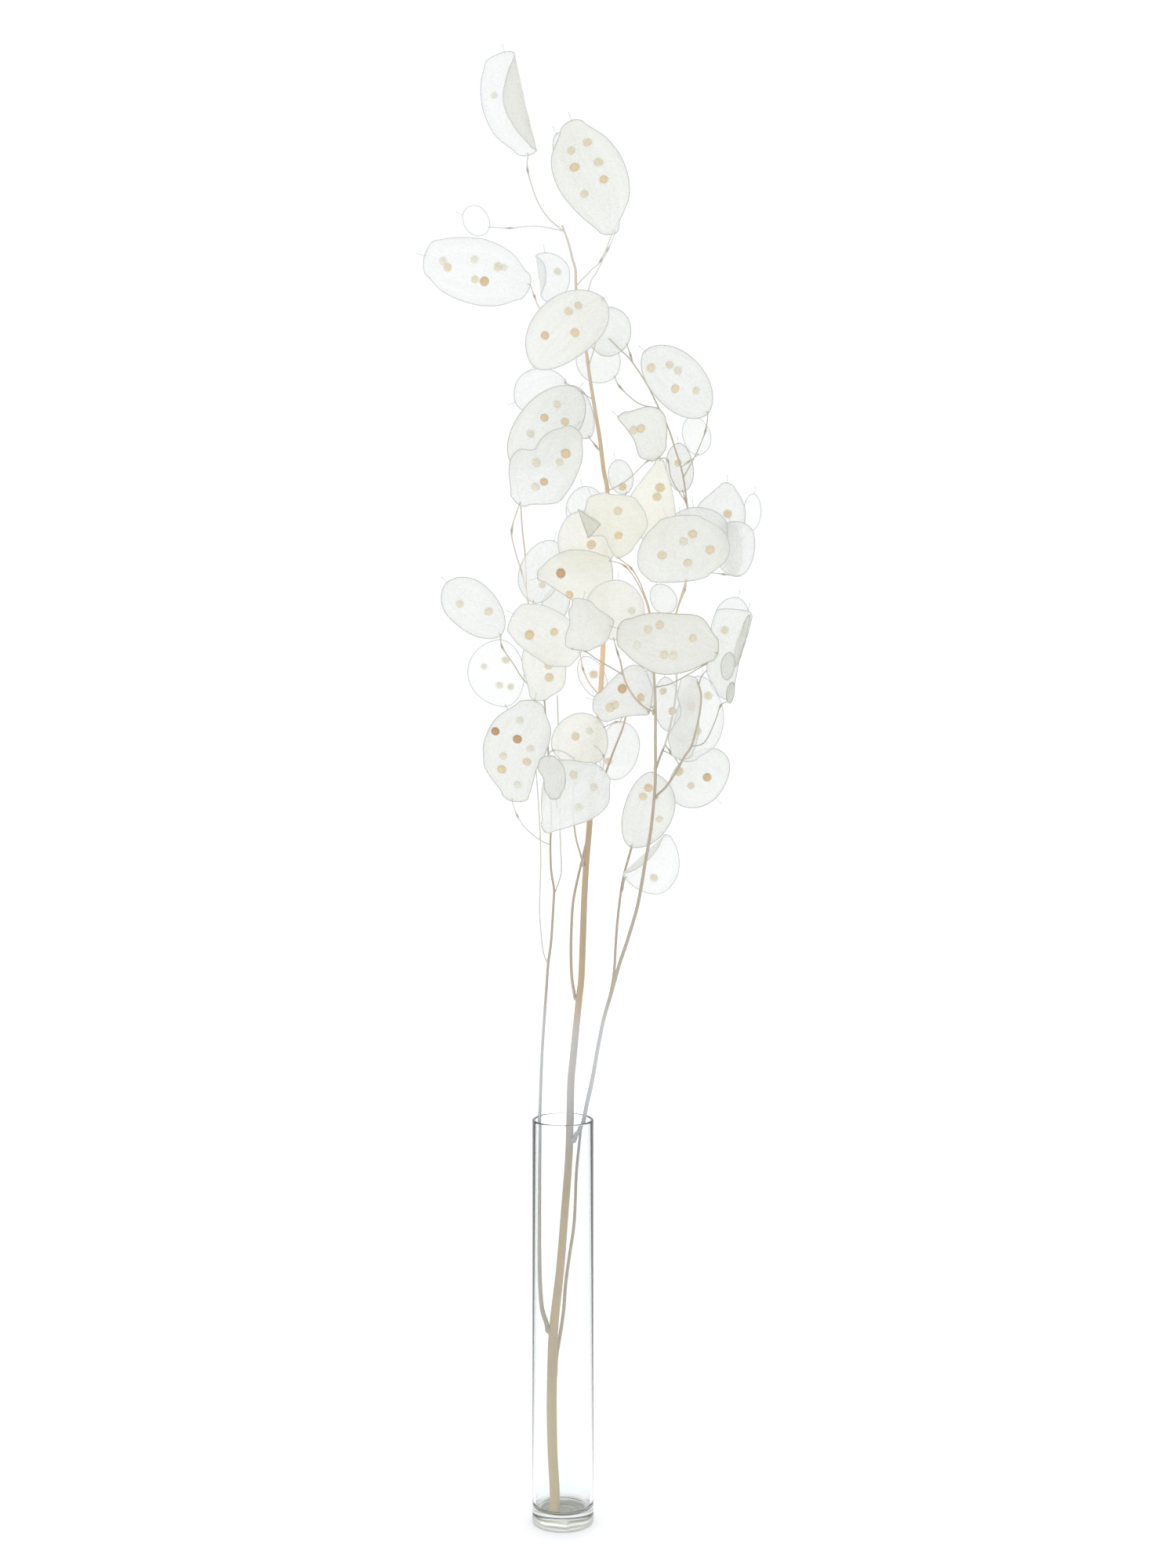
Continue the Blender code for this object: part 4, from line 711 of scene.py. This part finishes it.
def floor_material(settings):
    """A sheet of white paper, lit from below like the white wall behind it, and in shade under the vase."""
    material, graph = new_material("pale_floor")
    grain = graph.noise(graph.place(), 0.02, 2.0)
    flat = graph.place(1.0, 1.0, 0.0)
    reach = graph.node("ShaderNodeVectorMath", {"operation": "LENGTH"}, flat, output="Value")
    rings = (reach * 1.7).sine() * 0.3 + 0.7
    under = ((1.0 - reach.step(12.5, 16.0)) * rings).clamped()
    base = graph.mix(grain * 0.08, settings.floor_colour, (0.9, 0.9, 0.9))
    base = graph.mix(under, base, settings.shade)
    lit = graph.mix(under, (1.0, 1.0, 1.0), settings.shade)
    graph.principled(Base_Color=base, Roughness=0.75 + grain * 0.1, Emission_Color=lit,
                     Specular_IOR_Level=0.2, Emission_Strength=settings.floor_glow)
    return material


def deselect():
    for obj in bpy.context.selected_objects:
        obj.select_set(False)


def active_named(name):
    """The object that an operator has just added, under this name."""
    obj = bpy.context.active_object
    obj.name = name
    obj.data.name = name
    return obj


def clean_mesh(threshold):
    """Merges the active mesh's doubles and turns its faces outwards."""
    bpy.ops.object.mode_set(mode="EDIT")
    bpy.ops.mesh.select_all(action="SELECT")
    bpy.ops.mesh.remove_doubles(threshold=threshold)
    bpy.ops.mesh.normals_make_consistent(inside=False)
    bpy.ops.object.mode_set(mode="OBJECT")


def placed(x, z, depth):
    """The point seen at (x, z) in the plane of the vase's axis, slid along the line of sight to its depth."""
    slide = 1.0 + depth / -EYE.y
    return Vector((EYE.x + (x - EYE.x) * slide, depth, EYE.z + (z - EYE.z) * slide))


def seen_height(point):
    return EYE.z + (point.z - EYE.z) / (1.0 + point.y / -EYE.y)


def lerp(a, b, t):
    return a + (b - a) * t


def smooth_path(points, steps):
    """A curve through the points, with this many steps to each span."""
    ends = [points[0] * 2 - points[1], *points, points[-1] * 2 - points[-2]]
    path = []
    for a, b, c, d in zip(ends, ends[1:], ends[2:], ends[3:]):
        for i in range(steps):
            t = i / steps
            path.append(0.5 * (2 * b + (c - a) * t + (2 * a - 5 * b + 4 * c - d) * t**2
                               + (3 * b - 3 * c + d - a) * t**3))
    path.append(points[-1].copy())
    return path


def stem_radius(spray, share):
    return lerp(spray.radius[0], spray.radius[1], share**spray.taper)


FORK_HEIGHT = 72.0
FORK_REACH = 32.0
FORK_SWELL = 0.15


def swell(spray, height):
    """The main stem is stoutest where the sprays fork, in the vase."""
    if spray.parent:
        return 1.0
    return 1.0 + FORK_SWELL * math.exp(-(((height - FORK_HEIGHT) / FORK_REACH) ** 2))


def point_on(path, spray, height):
    """The place where a stem's path reaches this height as it is seen, and its direction and radius there."""
    heights = [seen_height(point) for point in path]
    best = min(range(len(path) - 1), key=lambda i: abs((heights[i] + heights[i + 1]) / 2 - height))
    span = heights[best + 1] - heights[best]
    share = min(max((height - heights[best]) / span, 0.0), 1.0)
    along = (path[best + 1] - path[best]).normalized()
    radius = stem_radius(spray, (best + share) / (len(path) - 1))
    return lerp(path[best], path[best + 1], share), along, radius


def stem_points(spray, paths, gap):
    """The stem's own points, led out of its parent by a short knee that starts just off its surface."""
    points = [placed(*point) for point in spray.points]
    if spray.parent:
        centre, along, radius = point_on(paths[spray.parent], SPRAYS[spray.parent], spray.root)
        out = points[0] - centre
        out = (out - along * out.dot(along)).normalized()
        start = centre + out * (radius + gap)
        neck = start + (out * 0.5 + along * 0.7) * spray.radius[0]
        knee = start + (out * 1.0 + along * 2.4) * spray.radius[0]
        points = [start, neck, knee, *points]
    return points


# The power that rounds a free outline's ends, and the powers of a plain pod's superellipse.
END_ROUND = 0.6
FULLNESS = 2.1
SIDE_ROUND = 0.56


def side_width(pod, side, t):
    """Half the width on one side at share t of the length."""
    if isinstance(pod.width[0], tuple):
        stops = [(0.0, 0.0), *zip(pod.stations, [pair[side] for pair in pod.width]), (1.0, 0.0)]
        i = next(i for i, (station, _) in enumerate(stops[1:]) if t <= station)
        return eased(stops, i, t)
    belly = pod.belly[side]
    u = 0.5 * t / belly if t < belly else 1.0 - 0.5 * (1.0 - t) / (1.0 - belly)
    return pod.width[side] * (1.0 - abs(2.0 * u - 1.0) ** FULLNESS) ** SIDE_ROUND


def slope(start, end):
    return (end[1] - start[1]) / (end[0] - start[0])


def eased(stops, i, t):
    """The outline's width at t, with round ends and a smooth run through its stops."""
    (below, narrow), (above, wide) = stops[i], stops[i + 1]
    span = above - below
    share = (t - below) / span
    if i == 0:
        return wide * (share * (2.0 - share)) ** END_ROUND
    if i == len(stops) - 2:
        return narrow * ((1.0 - share) * (1.0 + share)) ** END_ROUND
    before = slope(stops[i - 1] if i > 1 else stops[i], stops[i + 1])
    after = slope(stops[i], stops[i + 2] if i < len(stops) - 3 else stops[i + 1])
    return ((2 * share**3 - 3 * share**2 + 1) * narrow + (share**3 - 2 * share**2 + share) * span * before
            + (3 * share**2 - 2 * share**3) * wide + (share**3 - share**2) * span * after)


def beyond(s, fold):
    """Whether arc length s lies on the part that is turned over."""
    return bool(fold) and (s - fold) * math.copysign(1.0, fold) > 0.0


class Blade:
    """A pod's own frame: from base to tip along, across to its right, and out towards the eye. A fold turns
    its edge over a small radius and leaves a share of the side's width. The sheet is cupped across, bowed
    along and buckled, the first two as shares of its size and the last in millimetres."""

    FOLD_RADIUS = 1.0
    FOLD_TURN = math.radians(158.0)
    FOLD_REACH = 0.72
    CUP = 0.07
    BOW = 0.045
    BUCKLE = 0.24

    def __init__(self, pod, seed):
        self.pod = pod
        self.base = placed(*pod.base, pod.depth[0])
        self.tip = placed(*pod.tip, pod.depth[1])
        self.along = self.tip - self.base
        self.length = self.along.length
        self.along.normalize()
        sight = (EYE - self.base).normalized()
        facing = (sight - self.along * sight.dot(self.along)).normalized()
        across = self.along.cross(facing)
        roll = math.radians(pod.roll)
        self.across = across * math.cos(roll) + facing * math.sin(roll)
        self.out = facing * math.cos(roll) - across * math.sin(roll)
        self.spread = (1.0 + sum(pod.depth) / 2 / -EYE.y) / math.cos(roll)
        draw = random.Random(seed)
        self.waves = [(draw.uniform(0.6, 1.0), draw.uniform(0, math.tau)) for _ in range(4)]

    def widths(self, t):
        return side_width(self.pod, 0, t) * self.spread, side_width(self.pod, 1, t) * self.spread

    def fold_at(self, t):
        """Where the fold runs at this station, never past the edge."""
        left, right = self.widths(t)
        fold = self.pod.fold * self.spread
        return min(fold, self.FOLD_REACH * right) if fold > 0 else max(fold, -self.FOLD_REACH * left)

    def section(self, s, fold):
        """Where arc length s across the blade lies, with its normal: flat, then turned over at the fold."""
        if not beyond(s, fold):
            return s, 0.0, (0.0, 1.0)
        sign = math.copysign(1.0, fold)
        over = abs(s - fold)
        angle = min(over / self.FOLD_RADIUS, self.FOLD_TURN)
        rest = max(over - self.FOLD_RADIUS * self.FOLD_TURN, 0.0)
        x = fold + sign * (self.FOLD_RADIUS * math.sin(angle) + rest * math.cos(angle))
        rise = self.FOLD_RADIUS * (1.0 - math.cos(angle)) + rest * math.sin(angle)
        return x, rise, (-sign * math.sin(angle), math.cos(angle))

    def point(self, t, s, fold):
        """The point at share t along and arc length s across."""
        x, rise, (turned, up) = self.section(s, fold)
        left, right = self.widths(t)
        cup = self.CUP * (left + right) * (1.0 - (2.0 * x / (left + right + 0.01)) ** 2 - 0.4)
        bow = self.BOW * self.length * math.sin(math.pi * t)
        side = s / (right if s > 0 else left) if min(left, right) > 0.01 else 0.0
        ripple = self.ripple(t, side) * math.sin(math.pi * t) ** 0.5
        lift = rise + cup * math.sin(math.pi * t) + bow + up * ripple
        middle = self.base + self.along * (self.length * t)
        return middle + self.across * (x + turned * ripple) + self.out * lift

    def ripple(self, t, side):
        """The dry membrane's buckles, strongest near its edges."""
        a, b, c, d = self.waves
        edge = 0.25 + 0.75 * abs(side) ** 2.5
        wave = a[0] * math.sin(7.0 * t + a[1] + 1.2 * side) + b[0] * math.sin(13.0 * t + b[1] - 2.0 * side)
        wave += c[0] * math.sin(4.0 * side + 5.0 * t + c[1]) * 0.8 + d[0] * math.sin(21.0 * t + d[1]) * 0.35
        return wave * self.BUCKLE * self.pod.wave * edge

    def seed_place(self, place):
        """A seed's share along and arc length across, from where it is seen."""
        pod = self.pod
        reach = Vector((place[0] - pod.base[0], place[1] - pod.base[1]))
        axis = Vector((pod.tip[0] - pod.base[0], pod.tip[1] - pod.base[1]))
        t = reach.dot(axis) / axis.length_squared
        return t, reach.dot(Vector((axis.y, -axis.x)).normalized()) * self.spread


def store(mesh, name, values):
    """A number for each point of the mesh, which its material reads."""
    layer = mesh.attributes.get(name) or mesh.attributes.new(name, "FLOAT", "POINT")
    layer.data.foreach_set("value", values)


FOLD_COLUMNS = 8


def row_share(turn):
    """The share of a pod's length at this share of its rows, which stand closer towards both ends."""
    return 0.5 - 0.5 * math.cos(math.pi * turn)


def membrane_object(blade, name, settings):
    """The membrane: a grid laid over the pod's outline, with round ends and buckled edges."""
    columns = settings.columns + (FOLD_COLUMNS if blade.pod.fold else 0)
    deselect()
    bpy.ops.mesh.primitive_grid_add(x_subdivisions=columns, y_subdivisions=settings.stations, size=2.0)
    obj = active_named(name)
    edges = []
    pales = []
    for vertex in obj.data.vertices:
        u, v = vertex.co.x, vertex.co.y
        t = row_share((v + 1.0) / 2.0)
        left, right = blade.widths(t)
        s = lerp(-left, right, (u + 1.0) / 2.0)
        fold = blade.fold_at(t)
        vertex.co = blade.point(t, s, fold) * MM
        edges.append(max(abs(u), abs(v)) ** 8)
        pales.append(blade.pod.flap if beyond(s, fold) else lerp(*fades(blade.pod), t))
    store(obj.data, "edge", edges)
    store(obj.data, "pale", pales)
    store(obj.data, "warm", [blade.pod.warm] * len(pales))
    clean_mesh(0.02 * MM)
    bpy.ops.object.shade_smooth()
    return obj


def curve_object(name, runs, sides):
    """Round wires in one curve, then made a mesh. Each run is (points, radii, closed)."""
    deselect()
    bpy.ops.curve.primitive_nurbs_path_add(radius=MM)
    obj = active_named(name)
    obj.data.splines.clear()
    obj.data.bevel_depth = 1.0
    obj.data.bevel_resolution = sides
    obj.data.use_fill_caps = True
    obj.data.dimensions = "3D"
    for points, radii, closed in runs:
        spline = obj.data.splines.new("POLY")
        spline.points.add(len(points) - 1)
        spline.use_cyclic_u = closed
        for place, point, radius in zip(spline.points, points, radii):
            place.co = (*(point * MM), 1.0)
            place.radius = radius
    bpy.ops.object.convert(target="MESH")
    obj = active_named(name)
    bpy.ops.object.shade_smooth()
    return obj


def rim_run(blade, settings):
    """The closed line around a pod's edge."""
    steps = settings.stations + 4
    line = []
    for i in range(steps):
        t = row_share(i / steps)
        line.append(blade.point(t, blade.widths(t)[1], blade.fold_at(t)))
    for i in range(steps):
        t = row_share(1.0 - i / steps)
        line.append(blade.point(t, -blade.widths(t)[0], blade.fold_at(t)))
    return line, [settings.rim_radius] * len(line), True


def style_run(blade, settings):
    start = blade.point(0.985, 0.0, 0.0)
    end = blade.point(1.0, 0.0, 0.0) + blade.along * settings.style_length / MM
    middle = lerp(start, end, 0.5) + blade.out * 0.25
    return [start, middle, end], [settings.style_radius * share for share in (1.0, 0.85, 1.3)], False


def seed_object(blade, place, name, settings):
    """A flat round seed that swells both faces of the membrane."""
    t, s = blade.seed_place(place)
    if beyond(s, blade.fold_at(t)):
        raise RuntimeError(f"{name} lies on a fold")
    centre = blade.point(t, s, 0.0)
    along = (blade.point(t + 0.02, s, 0.0) - blade.point(t - 0.02, s, 0.0)).normalized()
    across = (blade.point(t, s + 0.6, 0.0) - blade.point(t, s - 0.6, 0.0)).normalized()
    out = along.cross(across).normalized()
    across = out.cross(along)
    deselect()
    bpy.ops.mesh.primitive_uv_sphere_add(segments=18, ring_count=10, radius=1.0)
    obj = active_named(name)
    radius = settings.seed_radius * random.Random(round(place[0] * 10 + place[1] * 1000)).uniform(0.86, 1.06)
    seat = Matrix((across * radius, along * radius * 0.93, out * settings.seed_rise)).transposed().to_4x4()
    seat.translation = centre * MM
    rings = [min(math.hypot(v.co.x, v.co.y), 1.0) for v in obj.data.vertices]
    obj.data.transform(seat)
    store(obj.data, "edge", rings)
    store(obj.data, "pale", [place[2]] * len(rings))
    bpy.ops.object.shade_smooth()
    return obj


def joined(objects, name):
    deselect()
    for obj in objects:
        obj.select_set(True)
    bpy.context.view_layer.objects.active = objects[0]
    if len(objects) > 1:
        bpy.ops.object.join()
    return active_named(name)


def stem_object(name, runs, olive, pale, hidden=(0.0, 0.0)):
    """Bare stems of one kind of bark."""
    stem = curve_object(name, runs, 4)
    for field, value in (("olive", olive), ("pale", pale), ("edge", 0.0)):
        store(stem.data, field, [value] * len(stem.data.vertices))
    low, high = hidden
    if high:
        inside = [low < vertex.co.z / MM < high for vertex in stem.data.vertices]
        store(stem.data, "pale", [0.95 if lost else pale for lost in inside])
    return stem


def twig_runs(spray, settings):
    for twig in spray.twigs:
        points = smooth_path([placed(*point) for point in twig], 3)
        yield points, [settings.twig_radius] * len(points), False


STALK_STEPS = 5
KNOB_REACH = 0.9


def stalk_run(pod, blade, spray, path, settings):
    """The stalk from the stem to the pod's base, with the place of its knob."""
    centre, _, _ = point_on(path, spray, pod.root)
    seen = [pod.base, *pod.via]
    points = [blade.point(0.03, 0.0, 0.0), blade.point(0.0, 0.0, 0.0)]
    for i, (x, z) in enumerate(seen[1:], start=1):
        points.append(placed(x, z, lerp(pod.depth[0], centre.y, i / len(seen))))
    points.append(centre)
    line = smooth_path(points, STALK_STEPS)
    knob = 2 * STALK_STEPS if pod.via else 8
    radii = []
    for i in range(len(line)):
        bulge = math.exp(-(((i - knob) / KNOB_REACH) ** 2))
        thicker = 0.5 * max(0.0, (i - knob) / len(line))
        radii.append(lerp(settings.stalk_radius, settings.knob_radius, bulge) * (1.0 + thicker))
    return (line, radii, False), line[knob]


def stalk_object(name, run, knob, spray, pod):
    """A stalk's mesh, with the numbers that its bark reads."""
    stalk = curve_object(name, [run], 1)
    points = stalk.data.vertices
    store(stalk.data, "olive", [min(spray.grey + 0.3, 1.0)] * len(points))
    store(stalk.data, "pale", [max(pod.stalk, spray.fade)] * len(points))
    store(stalk.data, "edge", [math.exp(-((v.co / MM - knob).length / KNOB_REACH) ** 2) for v in points])
    return stalk


def fades(pod):
    """How much the pod fades at its base and at its tip."""
    return pod.pale if isinstance(pod.pale, tuple) else (pod.pale, pod.pale)


def collar_runs(spray, path, paths):
    """The swollen axil where a spray leaves its parent, which closes the small gap between them."""
    if not spray.parent:
        return []
    centre, along, radius = point_on(paths[spray.parent], SPRAYS[spray.parent], spray.root)
    out = (path[0] - centre).normalized()
    start = centre + out * radius * 0.5 - along * spray.radius[0] * 0.3
    size = spray.radius[0] * MM
    return [([start, path[0], path[2], path[4]], [size * 1.3, size * 1.25, size * 1.1, size * 0.95], False)]


def build_spray(name):
    """One spray: its bark, membranes, rims and seeds as four pieces that stand for its node."""
    stem_settings = bpy.context.scene.honesty_stem
    pod_settings = bpy.context.scene.honesty_pod
    paths = {}
    for other, spray in SPRAYS.items():
        paths[other] = smooth_path(stem_points(spray, paths, stem_settings.axil_gap / MM), 4)
    spray = SPRAYS[name]
    path = paths[name]
    last = len(path) - 1
    radii = [stem_radius(spray, i / last) * swell(spray, path[i].z) * MM for i in range(last + 1)]
    runs = [(path, radii, False), *collar_runs(spray, path, paths)]
    bark = [stem_object(f"{name}_stem", runs, spray.grey, spray.fade, spray.hidden)]
    if spray.twigs:
        bark.append(stem_object(f"{name}_twigs", list(twig_runs(spray, stem_settings)), spray.grey, 0.9))
    membranes = []
    rims = []
    seeds = []
    for i, pod in enumerate((*spray.pods, *spray.scraps)):
        blade = Blade(pod, f"{name}{i}")
        membranes.append(membrane_object(blade, f"{name}_membrane_{i}", pod_settings))
        whole = i < len(spray.pods)
        wires = [rim_run(blade, pod_settings)]
        if whole:
            wires.append(style_run(blade, pod_settings))
        rim = curve_object(f"{name}_rim_{i}", wires, 1)
        store(rim.data, "pale", [min(sum(fades(pod)) / 2, 1.0)] * len(rim.data.vertices))
        rims.append(rim)
        if not whole:
            continue
        for k, place in enumerate(pod.seeds):
            seeds.append(seed_object(blade, place, f"{name}_seed_{i}_{k}", pod_settings))
        run, knob = stalk_run(pod, blade, spray, path, stem_settings)
        bark.append(stalk_object(f"{name}_stalk_{i}", run, knob, spray, pod))
    pieces = [
        (joined(bark, f"{name}_bark"), material_named("dry_bark", bark_material, stem_settings)),
        (joined(membranes, f"{name}_membranes"),
         material_named("papery_membrane", membrane_material, pod_settings)),
        (joined(rims, f"{name}_rims"), material_named("pod_rim", rim_material, pod_settings)),
    ]
    if seeds:
        pieces.append((joined(seeds, f"{name}_seeds"),
                       material_named("honesty_seed", seed_material, pod_settings)))
    for piece, material in pieces:
        piece.data.materials.clear()
        piece.data.materials.append(material)
        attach(piece, "root")
        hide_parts(name)


def material_named(name, make, settings):
    """The material of this name, made when it is first asked for."""
    return bpy.data.materials.get(name) or make(settings)


def build_vase():
    """A turned tube: the profile runs up the outside, over the rim and down inside, then spins round."""
    settings = bpy.context.scene.honesty_vase
    outer = settings.radius
    inner = settings.radius - settings.wall
    foot = settings.foot_round
    corner = settings.inner_round
    rim = settings.rim_round
    profile = [(0.0, 0.0)]
    profile += arc(outer - foot, foot, foot, -90, 0)
    profile += arc(outer - rim, settings.height - rim, rim, 0, 90)
    profile += arc(inner + rim, settings.height - rim, rim, 90, 180)
    profile += arc(inner - corner, settings.floor + corner, corner, 0, -90)
    profile.append((0.0, settings.floor))
    deselect()
    bpy.ops.mesh.primitive_plane_add(size=0.01)
    vase = active_named("vase_glass")
    shape = bmesh.new()
    points = [shape.verts.new((radius, 0.0, height)) for radius, height in profile]
    for a, b in zip(points, points[1:]):
        shape.edges.new((a, b))
    shape.to_mesh(vase.data)
    shape.free()
    turn = vase.modifiers.new("turn", "SCREW")
    turn.axis = "Z"
    turn.steps = settings.sides
    turn.render_steps = settings.sides
    turn.use_merge_vertices = True
    turn.merge_threshold = 0.01 * MM
    bpy.ops.object.modifier_apply(modifier=turn.name)
    clean_mesh(0.01 * MM)
    bpy.ops.object.shade_smooth_by_angle(angle=math.radians(50))
    vase.data.materials.clear()
    vase.data.materials.append(material_named("clear_glass", glass_material, settings))
    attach(vase, "root")
    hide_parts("vase")


def arc(radius, height, size, start, end, steps=6):
    """Points of a circular arc in the profile's plane, from one angle to the other in degrees."""
    angles = [math.radians(lerp(start, end, i / steps)) for i in range(steps + 1)]
    return [(radius + size * math.cos(angle), height + size * math.sin(angle)) for angle in angles]


PLANT_MIDDLE = Vector((0.0, 0.0, 0.42))


def build_stage():
    """A white floor and a white wall of light behind the object, a little greyer all round and in front.
    Places and sizes here are in metres."""
    settings = bpy.context.scene.honesty_stage
    deselect()
    bpy.ops.mesh.primitive_plane_add(size=14.0)
    floor = active_named("studio_floor")
    floor.data.transform(Matrix.Translation((0.0, 0.0, -0.0002)))
    floor.data.materials.append(floor_material(settings))
    surround = bpy.data.worlds.new("white_surround")
    graph = Graph(surround)
    ray = graph.node("ShaderNodeTexCoord", {}, output="Generated")
    towards = graph.node("ShaderNodeSeparateXYZ", {}, ray, output="Y")
    lit = settings.front_sky + towards.step(0.1, 0.75) * (settings.sky - settings.front_sky)
    graph.feed(graph.named("Background").inputs["Strength"], lit)
    graph.named("Background").inputs["Color"].default_value = (*settings.sky_colour, 1.0)
    bpy.context.scene.world = surround
    for name, place, size in (("soft_left", (-1.3, -0.9, 1.5), 1.2), ("soft_back", (0.4, 1.5, 1.3), 1.4)):
        bpy.ops.object.light_add(type="AREA", location=place)
        light = bpy.context.active_object
        light.name = name
        light.data.energy = settings.key
        light.data.size = size
        light.rotation_euler = (PLANT_MIDDLE - Vector(place)).to_track_quat("-Z", "Y").to_euler()
    bpy.ops.object.camera_add(location=EYE * MM, rotation=(math.pi / 2, 0.0, 0.0))
    camera = bpy.context.active_object
    camera.name = "photo_camera"
    camera.data.lens = settings.lens
    camera.data.sensor_width = 36.0
    camera.data.sensor_fit = "AUTO"
    camera.data.shift_y = settings.shift
    camera.data.clip_start = 0.01
    camera.data.clip_end = 60.0
    bpy.context.scene.camera = camera
    bpy.context.scene.view_settings.view_transform = "Standard"


class SprayOperator:
    """What every spray's operator does."""

    bl_options = {"REGISTER", "UNDO"}
    spray = ""

    def execute(self, context):
        build_spray(self.spray)
        return {"FINISHED"}


class HONESTY_OT_vase(bpy.types.Operator):
    """Turn the clear glass vase"""

    bl_idname = "honesty.vase"
    bl_label = "Vase"

    def execute(self, context):
        build_vase()
        return {"FINISHED"}


class HONESTY_OT_main_stem(SprayOperator, bpy.types.Operator):
    """Grow the main stem with its top and middle pods"""

    bl_idname = "honesty.main_stem"
    bl_label = "Main stem"
    spray = "main_stem"


class HONESTY_OT_left_spray(SprayOperator, bpy.types.Operator):
    """Grow the left spray"""

    bl_idname = "honesty.left_spray"
    bl_label = "Left spray"
    spray = "left_spray"


class HONESTY_OT_middle_spray(SprayOperator, bpy.types.Operator):
    """Grow the thin spray behind the main stem"""

    bl_idname = "honesty.middle_spray"
    bl_label = "Middle spray"
    spray = "middle_spray"


class HONESTY_OT_inner_spray(SprayOperator, bpy.types.Operator):
    """Grow the short spray in front of the main stem"""

    bl_idname = "honesty.inner_spray"
    bl_label = "Inner spray"
    spray = "inner_spray"


class HONESTY_OT_right_front_spray(SprayOperator, bpy.types.Operator):
    """Grow the thick right spray"""

    bl_idname = "honesty.right_front_spray"
    bl_label = "Right front spray"
    spray = "right_front_spray"


class HONESTY_OT_right_low_spray(SprayOperator, bpy.types.Operator):
    """Grow the low side raceme of the right front spray"""

    bl_idname = "honesty.right_low_spray"
    bl_label = "Right low spray"
    spray = "right_low_spray"


class HONESTY_OT_right_mid_spray(SprayOperator, bpy.types.Operator):
    """Grow the middle side raceme of the right front spray"""

    bl_idname = "honesty.right_mid_spray"
    bl_label = "Right middle spray"
    spray = "right_mid_spray"


class HONESTY_OT_right_back_spray(SprayOperator, bpy.types.Operator):
    """Grow the thin right spray with the upper right pods"""

    bl_idname = "honesty.right_back_spray"
    bl_label = "Right back spray"
    spray = "right_back_spray"


class HONESTY_OT_stage(bpy.types.Operator):
    """Set the floor, the soft light and the photo's camera"""

    bl_idname = "honesty.stage"
    bl_label = "Stage"

    def execute(self, context):
        build_stage()
        return {"FINISHED"}


SETTINGS = {
    "honesty_vase": HonestyVaseSettings,
    "honesty_stem": HonestyStemSettings,
    "honesty_pod": HonestyPodSettings,
    "honesty_stage": HonestyStageSettings,
}

OPERATORS = (
    HONESTY_OT_vase,
    HONESTY_OT_main_stem,
    HONESTY_OT_left_spray,
    HONESTY_OT_middle_spray,
    HONESTY_OT_inner_spray,
    HONESTY_OT_right_front_spray,
    HONESTY_OT_right_low_spray,
    HONESTY_OT_right_mid_spray,
    HONESTY_OT_right_back_spray,
    HONESTY_OT_stage,
)


class HONESTY_PT_panel(bpy.types.Panel):
    bl_idname = "HONESTY_PT_panel"
    bl_label = "Honesty Seed Pod Stem"
    bl_space_type = "VIEW_3D"
    bl_region_type = "UI"
    bl_category = "Honesty"

    def draw(self, context):
        for name, group in SETTINGS.items():
            box = self.layout.box()
            for field in group.__annotations__:
                box.prop(getattr(context.scene, name), field)
        for operator in OPERATORS:
            self.layout.operator(operator.bl_idname)


def register():
    for group in SETTINGS.values():
        bpy.utils.register_class(group)
    for name, group in SETTINGS.items():
        setattr(bpy.types.Scene, name, PointerProperty(type=group))
    for operator in OPERATORS:
        bpy.utils.register_class(operator)
    bpy.utils.register_class(HONESTY_PT_panel)


def unregister():
    bpy.utils.unregister_class(HONESTY_PT_panel)
    for operator in reversed(OPERATORS):
        bpy.utils.unregister_class(operator)
    for name in SETTINGS:
        delattr(bpy.types.Scene, name)
    for group in SETTINGS.values():
        bpy.utils.unregister_class(group)


def main():
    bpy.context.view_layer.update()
    register()
    bpy.ops.honesty.vase()
    bpy.ops.honesty.main_stem()
    bpy.ops.honesty.left_spray()
    bpy.ops.honesty.middle_spray()
    bpy.ops.honesty.inner_spray()
    bpy.ops.honesty.right_front_spray()
    bpy.ops.honesty.right_low_spray()
    bpy.ops.honesty.right_mid_spray()
    bpy.ops.honesty.right_back_spray()
    bpy.ops.honesty.stage()


if __name__ == "__main__":
    main()
